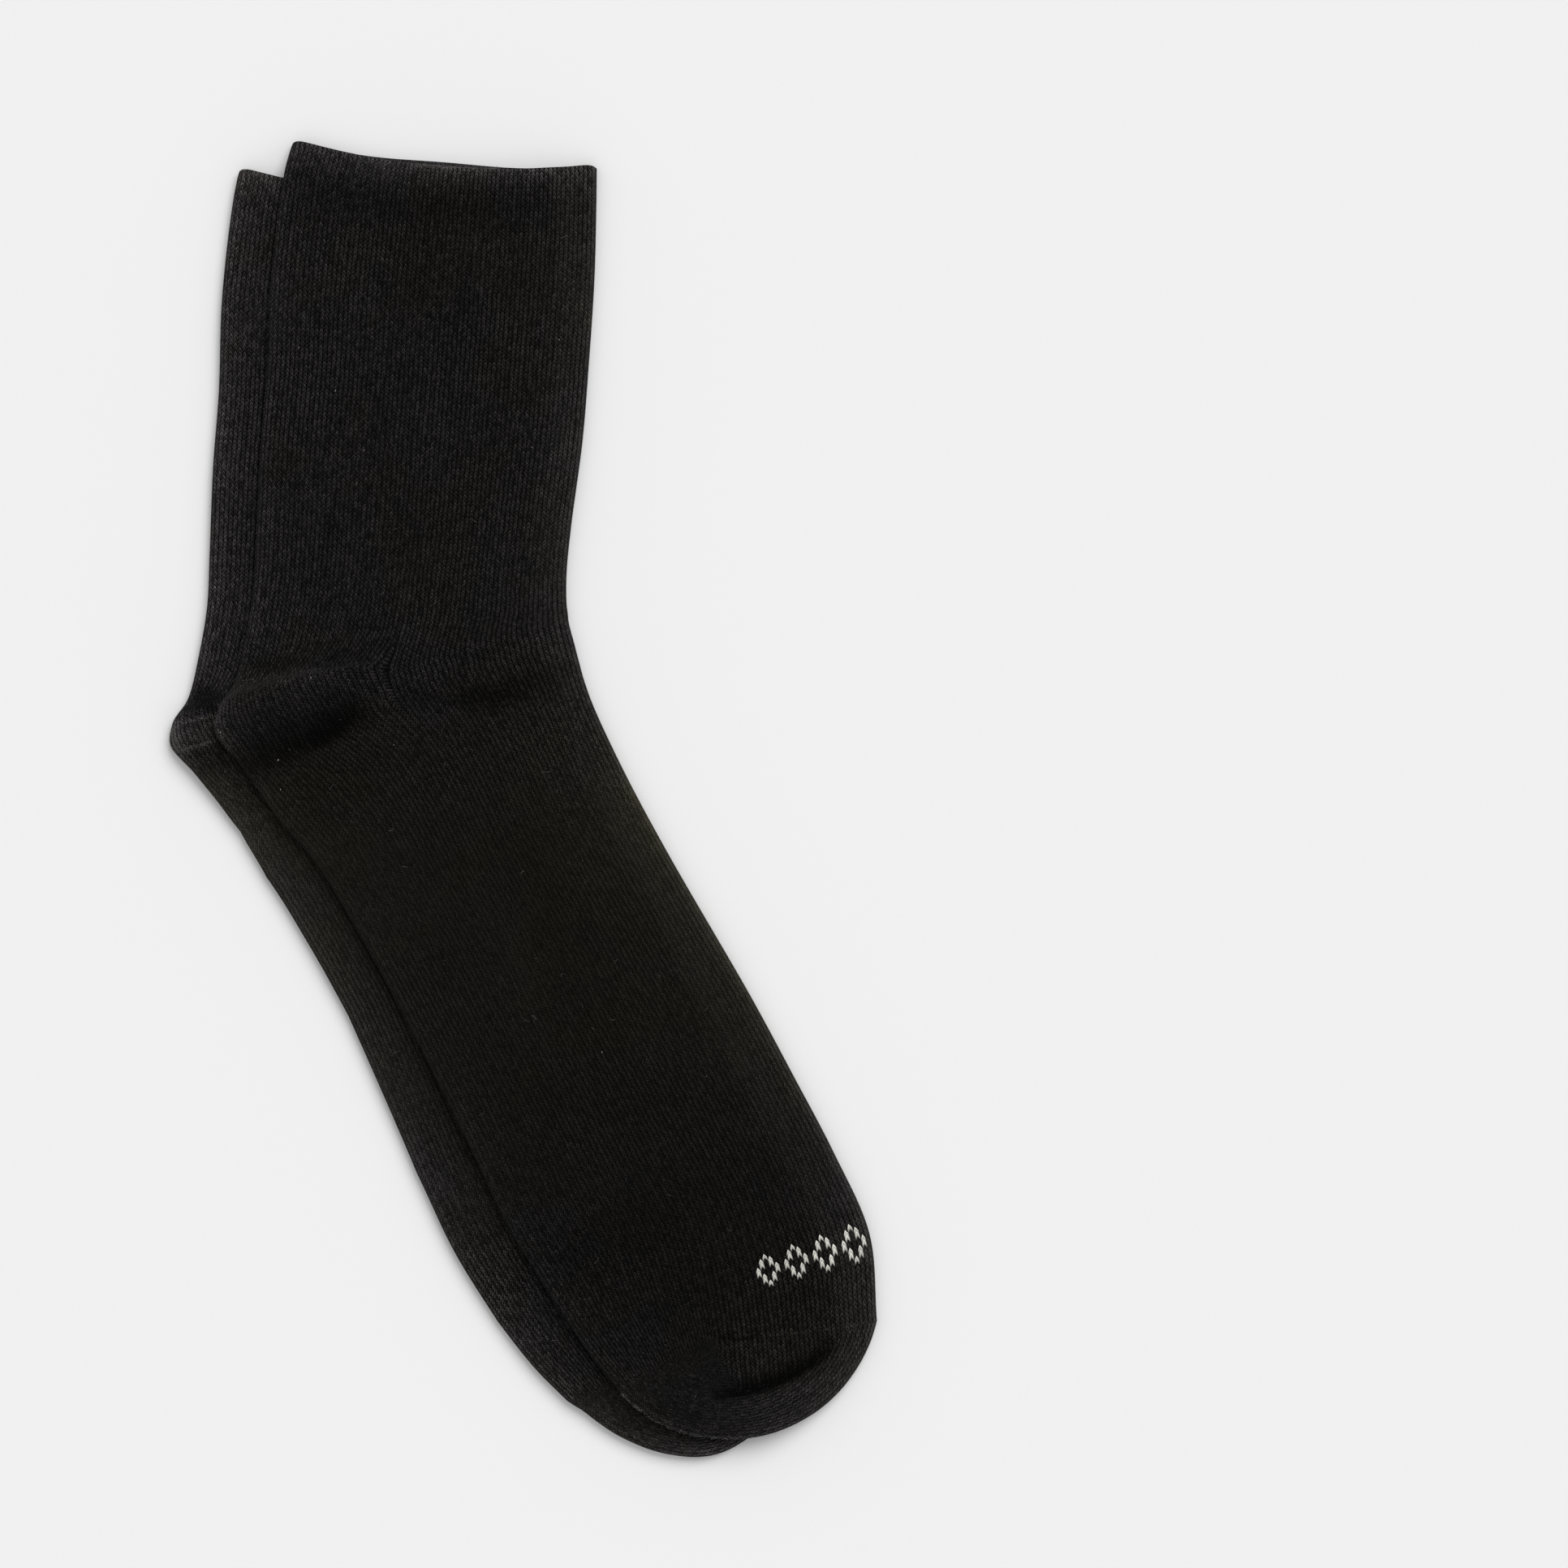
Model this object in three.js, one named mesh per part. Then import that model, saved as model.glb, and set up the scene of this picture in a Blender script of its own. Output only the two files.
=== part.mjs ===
// A pair of plain knitted crew socks, laid flat, the top one lying on the under one.
// Millimetres, +Z up. The cuffs point along +Y, the toes to -Y and +X, and the heels to -X.
// Each sock is one closed wall: a tube of knitted courses from the open cuff round the heel to
// the toe seam, and a toe pocket that fans round the toe apex and closes on the same seam.
import * as THREE from 'three';
import { mergeVertices } from 'three/addons/utils/BufferGeometryUtils.js';

// Cloth
const WALL = 1.2; // the knit's thickness
const THICKNESS = 3.8; // a sock lying flat: two walls and the air between them
const FOLD = THICKNESS / 2; // outer radius of the rounded back and front folds
const SEAT_GAP = 0.3; // between the two socks
const RIM_ROLL = 0.4; // how far the cuff's rim rounds out past the cloth's edge
const BACK_RIM_SHOWS = 1.4; // how far the back layer's rim stands above the front layer's, mid cuff
const BACK_RIM_FADE = 3; // mesh courses over which that difference dies away

// Drape of the top sock where it leaves the under one, measured outwards from the under outline
const DRAPE_FROM = 1.5;
const DRAPE_TO = 10.5;

// Courses of the top sock, from the cuff to the toe seam: where each meets the back fold, the
// middle wale and the front fold. lens bows the heel half of a course up or down the leg, rise
// lifts the top sock's upper layer there, and steps are the mesh courses to the next row.
const COURSES = [
  // course         back fold        middle wale      front fold       lens, rise, steps
  ['cuff',         [-59.4, 169.8],  [-20.0, 162.4],  [19.2, 163.3],   0.0, 0.0, 3],
  ['cuff trough',  [-61.5, 159.7],  [-20.8, 153.8],  [19.1, 153.3],   0.0, 0.0, 2],
  ['upper leg',    [-64.5, 135.0],  [-22.8, 131.2],  [18.6, 133.9],   0.0, 0.0, 2],
  ['calf',         [-65.6, 111.0],  [-24.3, 110.1],  [17.1, 111.2],   0.0, 0.0, 2],
  ['mid leg',      [-67.3, 90.8],   [-25.9, 90.4],   [15.5, 91.9],    0.0, 0.0, 2],
  ['lower leg',    [-68.4, 67.7],   [-27.6, 68.8],   [12.6, 70.2],    0.0, 0.0, 2],
  ['ankle',        [-69.2, 54.1],   [-29.1, 55.5],   [11.4, 57.9],    0.0, 0.0, 1],
  ['heel start',   [-71.5, 40.4],   [-30.8, 44.2],   [11.4, 49.9],    0.0, 0.0, 1],
  ['above gore',   [-74.2, 29.6],   [-33.1, 36.6],   [11.7, 47.6],    0.3, 0.2, 1],
  ['gore',         [-78.3, 22.6],   [-34.3, 32.2],   [11.9, 45.5],    4.0, 2.4, 1],
  ['heel cap',     [-79.3, 16.9],   [-33.7, 29.5],   [12.5, 42.9],    1.0, 1.6, 1],
  ['lower gore',   [-74.0, 10.4],   [-32.4, 26.1],   [13.3, 40.0],    -4.5, -0.7, 1],
  ['below gore',   [-68.8, 3.0],    [-28.9, 21.1],   [14.4, 35.8],    -2.0, 0.0, 1],
  ['heel end',     [-62.7, -5.8],   [-24.0, 14.8],   [15.9, 30.3],    0.0, 0.0, 1],
  ['arch',         [-54.0, -15.8],  [-17.5, 4.5],    [18.4, 23.4],    0.0, 0.0, 2],
  ['instep',       [-43.8, -32.0],  [-8.7, -13.1],   [26.8, 5.6],     0.0, 0.0, 2],
  ['mid foot',     [-32.9, -51.6],  [2.4, -33.1],    [37.5, -14.3],   0.0, 0.0, 4],
  ['ball',         [-13.1, -91.0],  [23.2, -71.9],   [59.3, -52.0],   0.0, 0.0, 2],
  ['fore foot',    [-3.3, -111.4],  [33.5, -91.5],   [70.0, -71.9],   0.0, 0.0, 2],
  ['toe base',     [7.9, -129.3],   [43.4, -110.8],  [80.5, -91.9],   0.0, 0.0, 2],
  ['toe box',      [16.5, -142.3],  [47.6, -126.3],  [89.7, -112.9],  0.0, 0.0, 2],
  ['toe seam',     [23.8, -151.5],  [49.7, -139.3],  [91.6, -135.3],  0.0, 0.0, 0],
].map(([course, back, mid, front, lens, rise, steps]) => (
  { course, back, mid, front, lens, rise, steps }));
const STRAIGHT_ROWS = 2; // rows before the seam over which a course turns into two straight halves
const LENS_FULLNESS = 0.5; // below 1, the heel's bow stays full near its two ends
const BACK_RIM_SHARPNESS = 4; // how narrowly the back rim's lift keeps to the middle of the cuff

// The under sock's courses lie this far from the top one's, by table row
const UNDER_SHIFTS = [
  { course: 'cuff', shift: [-13.8, -7.2] },
  { course: 'calf', shift: [-12.9, -6.0] },
  { course: 'ankle', shift: [-12.3, -4.5] },
  { course: 'gore', shift: [-12.2, -3.8] },
  { course: 'heel end', shift: [-10.2, -3.1] },
  { course: 'arch', shift: [-12.2, -4.9] },
  { course: 'mid foot', shift: [-12.1, -5.0] },
  { course: 'ball', shift: [-14.3, -6.0] },
  { course: 'toe base', shift: [-14.4, -6.1] },
  { course: 'toe seam', shift: [-12.4, -4.4] },
];

// Toe pockets: bearings from the toe apex, anticlockwise from +X, and the reach of the outline
const TOP_TOE = [
  { bearing: 205.2, reach: 28.6 },
  { bearing: 226.6, reach: 26.9 },
  { bearing: 267.7, reach: 25.9 },
  { bearing: 303.6, reach: 29.2 },
  { bearing: 339.0, reach: 35.8 },
  { bearing: 365.5, reach: 42.1 },
];
const UNDER_TOE = [
  { bearing: 205.2, reach: 28.6 },
  { bearing: 216.0, reach: 26.1 },
  { bearing: 244.0, reach: 24.7 },
  { bearing: 269.5, reach: 26.0 },
  { bearing: 295.0, reach: 29.3 },
  { bearing: 335.0, reach: 35.2 },
  { bearing: 365.5, reach: 42.1 },
];
const TOE_STEPS = 10;

// Soft creases (below zero) and puffs of the top sock's upper layer, as a bowed line seen from above
const CREASES = [
  { crease: 'cuff trough', from: [-62, 156], via: [-20, 149], to: [20, 152], rise: -0.35, width: 6 },
  { crease: 'front of ankle', from: [-15, 26], via: [-1, 28], to: [13, 34], rise: -0.5, width: 5 },
  { crease: 'ball of foot', from: [-17, -80], via: [20, -76], to: [60, -80], rise: -0.35, width: 6 },
  { crease: 'toe puff', from: [50, -147], via: [64, -145], to: [80, -137.5], rise: 0.7, width: 5 },
  { crease: 'toe crease', from: [50, -154.6], via: [66, -151], to: [79, -142], rise: -0.9, width: 2.8 },
];

// Columns across each half of a course, as shares of the way from the fold to the middle wale
const TOP_COLUMNS = [0, 0.07, 0.15, 0.25, 0.38, 0.6, 1];
const UNDER_COLUMNS = [0, 0.2, 0.55, 1];
const FOLD_STEPS = 4; // facets round a fold
const OUTLINE_STEPS = 16; // points of the under sock's outline along the cuff and round the toe
const CREASE_POINTS = 24; // points along each crease from which its distance is measured

const BLACK_KNIT = { color: 0x1b1a1a, roughness: 0.95, metalness: 0 };

const smooth = THREE.MathUtils.smoothstep;
const planPoint = ([x, y]) => new THREE.Vector2(x, y);
const rowOf = (name) => COURSES.findIndex((row) => row.course === name);

// A smooth curve through one column of the course table, read by row number
function throughRows(pointOfRow) {
  const points = COURSES.map((row, i) => new THREE.Vector3(...pointOfRow(row, i)));
  const curve = new THREE.CatmullRomCurve3(points, false, 'centripetal');
  return (place) => curve.getPoint(place / (COURSES.length - 1));
}

// A smooth curve through a toe table, read by bearing share from the sole end to the instep end
function toeReach(table) {
  const points = table.map(({ bearing, reach }) => new THREE.Vector3(bearing, reach, 0));
  return new THREE.CatmullRomCurve3(points, false, 'centripetal');
}

function shiftAt(place, shifts) {
  const next = Math.max(1, shifts.findIndex((row) => rowOf(row.course) >= place));
  const [low, high] = [shifts[next - 1], shifts[next]];
  const share = (place - rowOf(low.course)) / (rowOf(high.course) - rowOf(low.course));
  return planPoint(low.shift).lerp(planPoint(high.shift), share);
}

// Table places of all mesh courses, whole numbers on the table's own rows
function meshPlaces() {
  const places = COURSES.flatMap(({ steps }, row) =>
    Array.from({ length: steps }, (_, k) => row + k / steps));
  return [...places, COURSES.length - 1];
}

// One knitted course seen from above: t runs from 0 at the back fold to 1 at the front fold
function makeCourse(place, curves, shift, heelPuff) {
  const [back, mid, front] = [curves.back, curves.mid, curves.front].map((curve) => {
    const { x, y } = curve(place);
    return new THREE.Vector2(x, y).add(shift);
  });
  const { x: lens, y: rise } = curves.heel(place);
  const straight = smooth(place, COURSES.length - 1 - STRAIGHT_ROWS, COURSES.length - 1);
  const at = (t) => {
    const bowed = back.clone().multiplyScalar((1 - t) * (1 - 2 * t))
      .addScaledVector(mid, 4 * t * (1 - t))
      .addScaledVector(front, t * (2 * t - 1));
    const halves = t < 0.5 ? back.clone().lerp(mid, 2 * t) : mid.clone().lerp(front, 2 * t - 1);
    const point = bowed.lerp(halves, straight);
    point.y += lens * heelShare(t) ** LENS_FULLNESS;
    return point;
  };
  return { back, mid, front, at, rise: (t) => heelPuff * rise * heelShare(t) };
}

// How much of the heel's bow and rise a wale takes: none at the back fold and the middle wale
function heelShare(t) {
  return t > 0 && t < 0.5 ? Math.sin(2 * Math.PI * t) : 0;
}

// Section of half a course, from the middle wale's top round the fold to its underside: the way
// in from the fold, and the unit direction from the middle of the cloth's bend to the surface
function sectionHalf(columns) {
  const flat = columns.map((share) => ({ share, out: 0, up: 1 }));
  const bend = Array.from({ length: FOLD_STEPS - 1 }, (_, k) => {
    const angle = Math.PI / 2 - ((k + 1) * Math.PI) / FOLD_STEPS;
    return { share: 0, out: Math.cos(angle), up: Math.sin(angle) };
  });
  return [...flat.toReversed(), ...bend, ...flat.map((point) => ({ ...point, up: -1 }))];
}

// A point of the wall: radius is FOLD for the outer skin and FOLD - WALL for the inner one
function wallPoint(plan, up, radius, lift) {
  return new THREE.Vector3(plan.x, plan.y, FOLD + up * radius + lift);
}

// Both halves of a course as one closed ring, starting on top of the middle wale
function courseRing(course, section, radius, sock, backRim) {
  const ring = [];
  for (const side of ['back', 'front']) {
    const half = course[side].distanceTo(course.mid);
    const points = section.map(({ share, out, up }) => {
      const inward = FOLD + (half - FOLD) * share - out * radius;
      const t = side === 'back' ? inward / half / 2 : 1 - inward / half / 2;
      const plan = course.at(t);
      plan.y += up < 0 ? backRim * Math.sin(Math.PI * t) ** BACK_RIM_SHARPNESS : 0;
      const lift = sock.drape(plan) + Math.max(0, up) * (course.rise(t) + sock.relief(plan));
      return wallPoint(plan, up, radius, lift);
    });
    ring.push(...(side === 'back' ? points.slice(0, -1) : points.toReversed().slice(0, -1)));
  }
  return ring;
}

// Direction from the toe apex and reach of the outline, share of the way round the toe
function toeRay(sock, share) {
  const { x: bearing, y: reach } = sock.toe.getPoint(share);
  const angle = THREE.MathUtils.degToRad(bearing);
  return { outwards: new THREE.Vector2(Math.cos(angle), Math.sin(angle)), reach };
}

// Radial courses of the toe pocket, from the sole half of the seam course to its instep half
function pocketRows(seam, section, radius, sock) {
  const last = section.length - 1;
  const apex = sock.seamCourse.mid;
  const rows = Array.from({ length: TOE_STEPS - 1 }, (_, j) => {
    const { outwards, reach } = toeRay(sock, (j + 1) / TOE_STEPS);
    return section.map(({ share, out, up }, k) => {
      if (k === 0 || k === last) return seam[k].clone();
      const inward = FOLD + (reach - FOLD) * share - out * radius;
      const plan = apex.clone().addScaledVector(outwards, reach - inward);
      const lift = sock.drape(plan) + Math.max(0, up) * sock.relief(plan);
      return wallPoint(plan, up, radius, lift);
    });
  });
  const sole = seam.slice(0, last + 1);
  const instep = section.map((_, k) => seam[(seam.length - k) % seam.length]);
  return [sole, ...rows, instep];
}

// Triangles between neighbouring rows of points, wound so that they face outwards
function stitchRows(rows, closed, inwards, triangles) {
  for (let i = 0; i + 1 < rows.length; i += 1) {
    const [row, next] = [rows[i], rows[i + 1]];
    for (let k = 0; k < (closed ? row.length : row.length - 1); k += 1) {
      const along = (k + 1) % row.length;
      for (const corners of [[row[k], row[along], next[along]], [row[k], next[along], next[k]]]) {
        triangles.push(inwards ? corners.toReversed() : corners);
      }
    }
  }
}

// The rounded rim that joins the outer and inner skins at the open cuff
function cuffRim(outer, inner) {
  return outer.map((point, k) => {
    const rim = point.clone().lerp(inner[k], 0.5);
    rim.y += RIM_ROLL;
    return rim;
  });
}

function sockGeometry(sock) {
  const section = sectionHalf(sock.columns);
  const triangles = [];
  const rims = [];
  for (const radius of [FOLD, FOLD - WALL]) {
    const inwards = radius < FOLD;
    const rings = sock.courses.map((course, i) =>
      courseRing(course, section, radius, sock, BACK_RIM_SHOWS * Math.max(0, 1 - i / BACK_RIM_FADE)));
    stitchRows(rings, true, inwards, triangles);
    stitchRows(pocketRows(rings.at(-1), section, radius, sock), false, inwards, triangles);
    rims.push(rings[0]);
  }
  const [outer, inner] = rims;
  stitchRows([inner, cuffRim(outer, inner), outer], true, false, triangles);
  const solid = triangles.filter(([a, b, c]) => !a.equals(b) && !b.equals(c) && !c.equals(a));
  const geometry = new THREE.BufferGeometry().setFromPoints(solid.flat());
  return mergeVertices(geometry, 1e-4);
}

// Outline of a sock seen from above: down the back fold, round the toe and up the front fold
function outlineOf(sock) {
  const toe = Array.from({ length: OUTLINE_STEPS + 1 }, (_, j) => {
    const { outwards, reach } = toeRay(sock, j / OUTLINE_STEPS);
    return sock.seamCourse.mid.clone().addScaledVector(outwards, reach);
  });
  const cuff = Array.from({ length: OUTLINE_STEPS - 1 }, (_, k) => {
    return sock.courses[0].at(1 - (k + 1) / OUTLINE_STEPS);
  });
  return [
    ...sock.courses.map((course) => course.back),
    ...toe,
    ...sock.courses.map((course) => course.front).toReversed(),
    ...cuff,
  ];
}

// Distance from a point to an outline, below zero inside it
function signedDistance(point, outline) {
  let nearest = Infinity;
  let inside = false;
  outline.forEach((a, i) => {
    const b = outline[(i + 1) % outline.length];
    const edge = b.clone().sub(a);
    const way = point.clone().sub(a);
    const share = THREE.MathUtils.clamp(way.dot(edge) / Math.max(edge.lengthSq(), 1e-9), 0, 1);
    nearest = Math.min(nearest, way.addScaledVector(edge, -share).length());
    const crosses = a.y > point.y !== b.y > point.y;
    if (crosses && point.x < a.x + ((point.y - a.y) / edge.y) * edge.x) inside = !inside;
  });
  return inside ? -nearest : nearest;
}

// Height of the upper layer's creases and puffs at a point seen from above
function creaseRelief() {
  const lines = CREASES.map(({ from, via, to, rise, width }) => {
    const bow = planPoint(via).multiplyScalar(2)
      .addScaledVector(planPoint(from), -0.5).addScaledVector(planPoint(to), -0.5);
    const curve = new THREE.QuadraticBezierCurve(planPoint(from), bow, planPoint(to));
    return { points: curve.getPoints(CREASE_POINTS), rise, width };
  });
  return (plan) => lines.reduce((sum, { points, rise, width }) => {
    const away = points.map((point) => point.distanceTo(plan));
    const nearest = Math.min(...away);
    const along = away.indexOf(nearest) / (points.length - 1);
    const ends = Math.sqrt(Math.max(0, Math.sin(Math.PI * along)));
    return sum + rise * ends * Math.exp(-((nearest / width) ** 2));
  }, 0);
}

function makeSock({ columns, shifts, toeTable, heelPuff, drape, relief }) {
  const curves = {
    back: throughRows((row) => [...row.back, 0]),
    mid: throughRows((row) => [...row.mid, 0]),
    front: throughRows((row) => [...row.front, 0]),
    heel: throughRows((row, i) => [row.lens, row.rise, i]),
  };
  const courses = meshPlaces().map((place) =>
    makeCourse(place, curves, shiftAt(place, shifts), heelPuff));
  return { columns, courses, seamCourse: courses.at(-1), toe: toeReach(toeTable), drape, relief };
}

function addSock(group, name, sock) {
  const mesh = new THREE.Mesh(sockGeometry(sock), new THREE.MeshStandardMaterial(BLACK_KNIT));
  mesh.name = name;
  group.add(mesh);
}

const level = () => 0;
const noShift = [
  { course: 'cuff', shift: [0, 0] },
  { course: 'toe seam', shift: [0, 0] },
];

const underSock = makeSock({
  columns: UNDER_COLUMNS, shifts: UNDER_SHIFTS, toeTable: UNDER_TOE, heelPuff: 0, drape: level, relief: level,
});
const underOutline = outlineOf(underSock);
const drape = (plan) =>
  (THICKNESS + SEAT_GAP) * (1 - smooth(signedDistance(plan, underOutline), DRAPE_FROM, DRAPE_TO));
const topSock = makeSock({
  columns: TOP_COLUMNS, shifts: noShift, toeTable: TOP_TOE, heelPuff: 1, drape, relief: creaseRelief(),
});

const pair = new THREE.Group();
addSock(pair, 'under_sock', underSock);
addSock(pair, 'top_sock', topSock);

// The origin is the bottom centre of the pair's bounding box
const box = new THREE.Box3().setFromObject(pair);
const centre = box.getCenter(new THREE.Vector3());
pair.position.set(-centre.x, -centre.y, -box.min.z);

export default pair;
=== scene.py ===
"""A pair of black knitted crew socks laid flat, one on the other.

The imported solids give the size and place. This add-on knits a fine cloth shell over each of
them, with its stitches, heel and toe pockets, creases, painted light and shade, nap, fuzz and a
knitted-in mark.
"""

import math
from collections import namedtuple

import bpy
import numpy as np
from bpy.props import FloatProperty, FloatVectorProperty, IntProperty, PointerProperty
from mathutils import Matrix, Vector


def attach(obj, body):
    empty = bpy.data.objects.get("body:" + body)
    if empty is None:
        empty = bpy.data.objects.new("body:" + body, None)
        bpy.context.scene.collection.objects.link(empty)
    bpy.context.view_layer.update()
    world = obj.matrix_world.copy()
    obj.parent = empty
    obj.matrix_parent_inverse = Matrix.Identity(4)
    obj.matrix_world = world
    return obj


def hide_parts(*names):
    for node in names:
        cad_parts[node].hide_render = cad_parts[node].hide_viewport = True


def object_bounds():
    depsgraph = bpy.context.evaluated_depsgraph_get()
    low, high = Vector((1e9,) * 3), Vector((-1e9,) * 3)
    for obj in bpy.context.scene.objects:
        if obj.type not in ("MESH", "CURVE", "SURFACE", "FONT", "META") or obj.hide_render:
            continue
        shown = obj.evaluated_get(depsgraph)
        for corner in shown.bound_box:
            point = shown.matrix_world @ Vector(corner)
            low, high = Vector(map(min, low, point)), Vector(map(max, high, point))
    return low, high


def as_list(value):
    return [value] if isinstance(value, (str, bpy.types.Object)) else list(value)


bl_info = {
    "name": "Laid Pair of Socks",
    "version": (1, 0, 0),
    "blender": (4, 5, 0),
    "location": "3D View > Sidebar > Socks",
    "description": "Knits the cloth of a laid pair of socks over its packed solids",
    "category": "Object",
}

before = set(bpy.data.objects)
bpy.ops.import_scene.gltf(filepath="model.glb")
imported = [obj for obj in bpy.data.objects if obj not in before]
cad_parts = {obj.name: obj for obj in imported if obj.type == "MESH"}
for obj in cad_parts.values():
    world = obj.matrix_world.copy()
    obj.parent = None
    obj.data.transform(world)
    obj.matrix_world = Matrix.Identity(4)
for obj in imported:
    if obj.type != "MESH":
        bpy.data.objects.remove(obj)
CAD_BOX = [[float(value) for value in corner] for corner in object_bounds()]

MM = 0.001  # the tables below are in millimetres

# Courses of the top sock, from the cuff to the toe seam: where each meets the back fold, the
# middle wale and the front fold. lens bows the heel half of a course up or down the leg, and
# rise lifts the top sock's upper layer there.
Course = namedtuple("Course", "name back middle front lens rise")
COURSES = [
    Course("cuff", (-59.4, 169.8), (-20.0, 162.4), (19.2, 163.3), 0.0, 0.0),
    Course("cuff trough", (-61.5, 159.7), (-20.8, 153.8), (19.1, 153.3), 0.0, 0.0),
    Course("upper leg", (-64.5, 135.0), (-22.8, 131.2), (18.6, 133.9), 0.0, 0.0),
    Course("calf", (-65.6, 111.0), (-24.3, 110.1), (17.1, 111.2), 0.0, 0.0),
    Course("mid leg", (-67.3, 90.8), (-25.9, 90.4), (15.5, 91.9), 0.0, 0.0),
    Course("lower leg", (-68.4, 67.7), (-27.6, 68.8), (12.6, 70.2), 0.0, 0.0),
    Course("ankle", (-69.2, 54.1), (-29.1, 55.5), (11.4, 57.9), 0.0, 0.0),
    Course("heel start", (-71.5, 40.4), (-30.8, 44.2), (11.4, 49.9), 0.0, 0.0),
    Course("above gore", (-74.2, 29.6), (-33.1, 36.6), (11.7, 47.6), 0.3, 0.2),
    Course("gore", (-78.3, 22.6), (-34.3, 32.2), (11.9, 45.5), 4.0, 2.4),
    Course("heel cap", (-79.3, 16.9), (-33.7, 29.5), (12.5, 42.9), 1.0, 1.6),
    Course("lower gore", (-74.0, 10.4), (-32.4, 26.1), (13.3, 40.0), -4.5, -0.7),
    Course("below gore", (-68.8, 3.0), (-28.9, 21.1), (14.4, 35.8), -2.0, 0.0),
    Course("heel end", (-62.7, -5.8), (-24.0, 14.8), (15.9, 30.3), 0.0, 0.0),
    Course("arch", (-54.0, -15.8), (-17.5, 4.5), (18.4, 23.4), 0.0, 0.0),
    Course("instep", (-43.8, -32.0), (-8.7, -13.1), (26.8, 5.6), 0.0, 0.0),
    Course("mid foot", (-32.9, -51.6), (2.4, -33.1), (37.5, -14.3), 0.0, 0.0),
    Course("ball", (-13.1, -91.0), (23.2, -71.9), (59.3, -52.0), 0.0, 0.0),
    Course("fore foot", (-3.3, -111.4), (33.5, -91.5), (70.0, -71.9), 0.0, 0.0),
    Course("toe base", (7.9, -129.3), (43.4, -110.8), (80.5, -91.9), 0.0, 0.0),
    Course("toe box", (16.5, -142.3), (47.6, -126.3), (89.7, -112.9), 0.0, 0.0),
    Course("toe seam", (23.8, -151.5), (49.7, -139.3), (91.6, -135.3), 0.0, 0.0),
]
STRAIGHT_ROWS = 2  # rows before the seam over which a course turns into two straight halves
LENS_FULLNESS = 0.5  # below 1, the heel's bow stays full near its two ends

# The under sock's courses lie this far from the top one's
UNDER_SHIFTS = {
    "cuff": (-13.8, -7.2),
    "calf": (-12.9, -6.0),
    "ankle": (-12.3, -4.5),
    "gore": (-12.2, -3.8),
    "heel end": (-10.2, -3.1),
    "arch": (-12.2, -4.9),
    "mid foot": (-12.1, -5.0),
    "ball": (-14.3, -6.0),
    "toe base": (-14.4, -6.1),
    "toe seam": (-12.4, -4.4),
}
NO_SHIFTS = {"cuff": (0, 0), "toe seam": (0, 0)}

# Toe pockets: bearings from the toe apex, anticlockwise from +X, and the reach of the outline
TOP_TOE = [
    (205.2, 28.6),
    (226.6, 26.9),
    (267.7, 25.9),
    (303.6, 29.2),
    (339.0, 35.8),
    (365.5, 42.1),
]
UNDER_TOE = [
    (205.2, 28.6),
    (216.0, 26.1),
    (244.0, 24.7),
    (269.5, 26.0),
    (295.0, 29.0),
    (335.0, 32.8),
    (365.5, 42.1),
]

# A soft mark on the upper layer: a bowed line seen from above, how much it adds there, and how
# far that spreads to the left and to the right of the way from its start to its end
Stroke = namedtuple("Stroke", "name start via end amount left right")

# Troughs (below zero) and ridges, in millimetres of height
TOP_RELIEF = [
    Stroke("cuff trough", (-62, 156), (-20, 149), (20, 152), -0.35, 6, 6),
    Stroke("front of ankle", (-15, 26), (-1, 28), (13, 34), -0.5, 4, 5),
    Stroke("second ankle fold", (-24, 24.5), (-10, 25), (5, 27.5), -0.3, 3, 3),
    Stroke("ball of foot", (-17, -80), (20, -76), (60, -80), -0.35, 5, 6),
    Stroke("toe spring", (2, -103), (20, -106), (38, -109), -0.25, 5, 5),
    Stroke("toe puff", (50, -147), (64, -145), (80, -137.5), 0.7, 5, 5),
    Stroke("toe crease", (48, -154.6), (66, -151), (80, -141.5), -1.2, 3.6, 1.3),
    Stroke("toe seam", (49, -139.5), (70, -138.2), (93, -135.2), 0.22, 0.45, 0.45),
]
UNDER_RELIEF = [
    Stroke("heel tip", (-88, 23), (-88.5, 17), (-86, 10), 0.5, 2.5, 2.5),
    Stroke("upper gore line", (-93, 19.3), (-86, 20.8), (-78, 21.6), 0.3, 0.7, 0.7),
    Stroke("lower gore line", (-91, 10.8), (-84, 13.4), (-77, 15.5), 0.3, 0.7, 0.7),
    Stroke("heel hollow", (-88, 29), (-83.5, 26), (-79, 25), -0.6, 3, 2.5),
]
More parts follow.
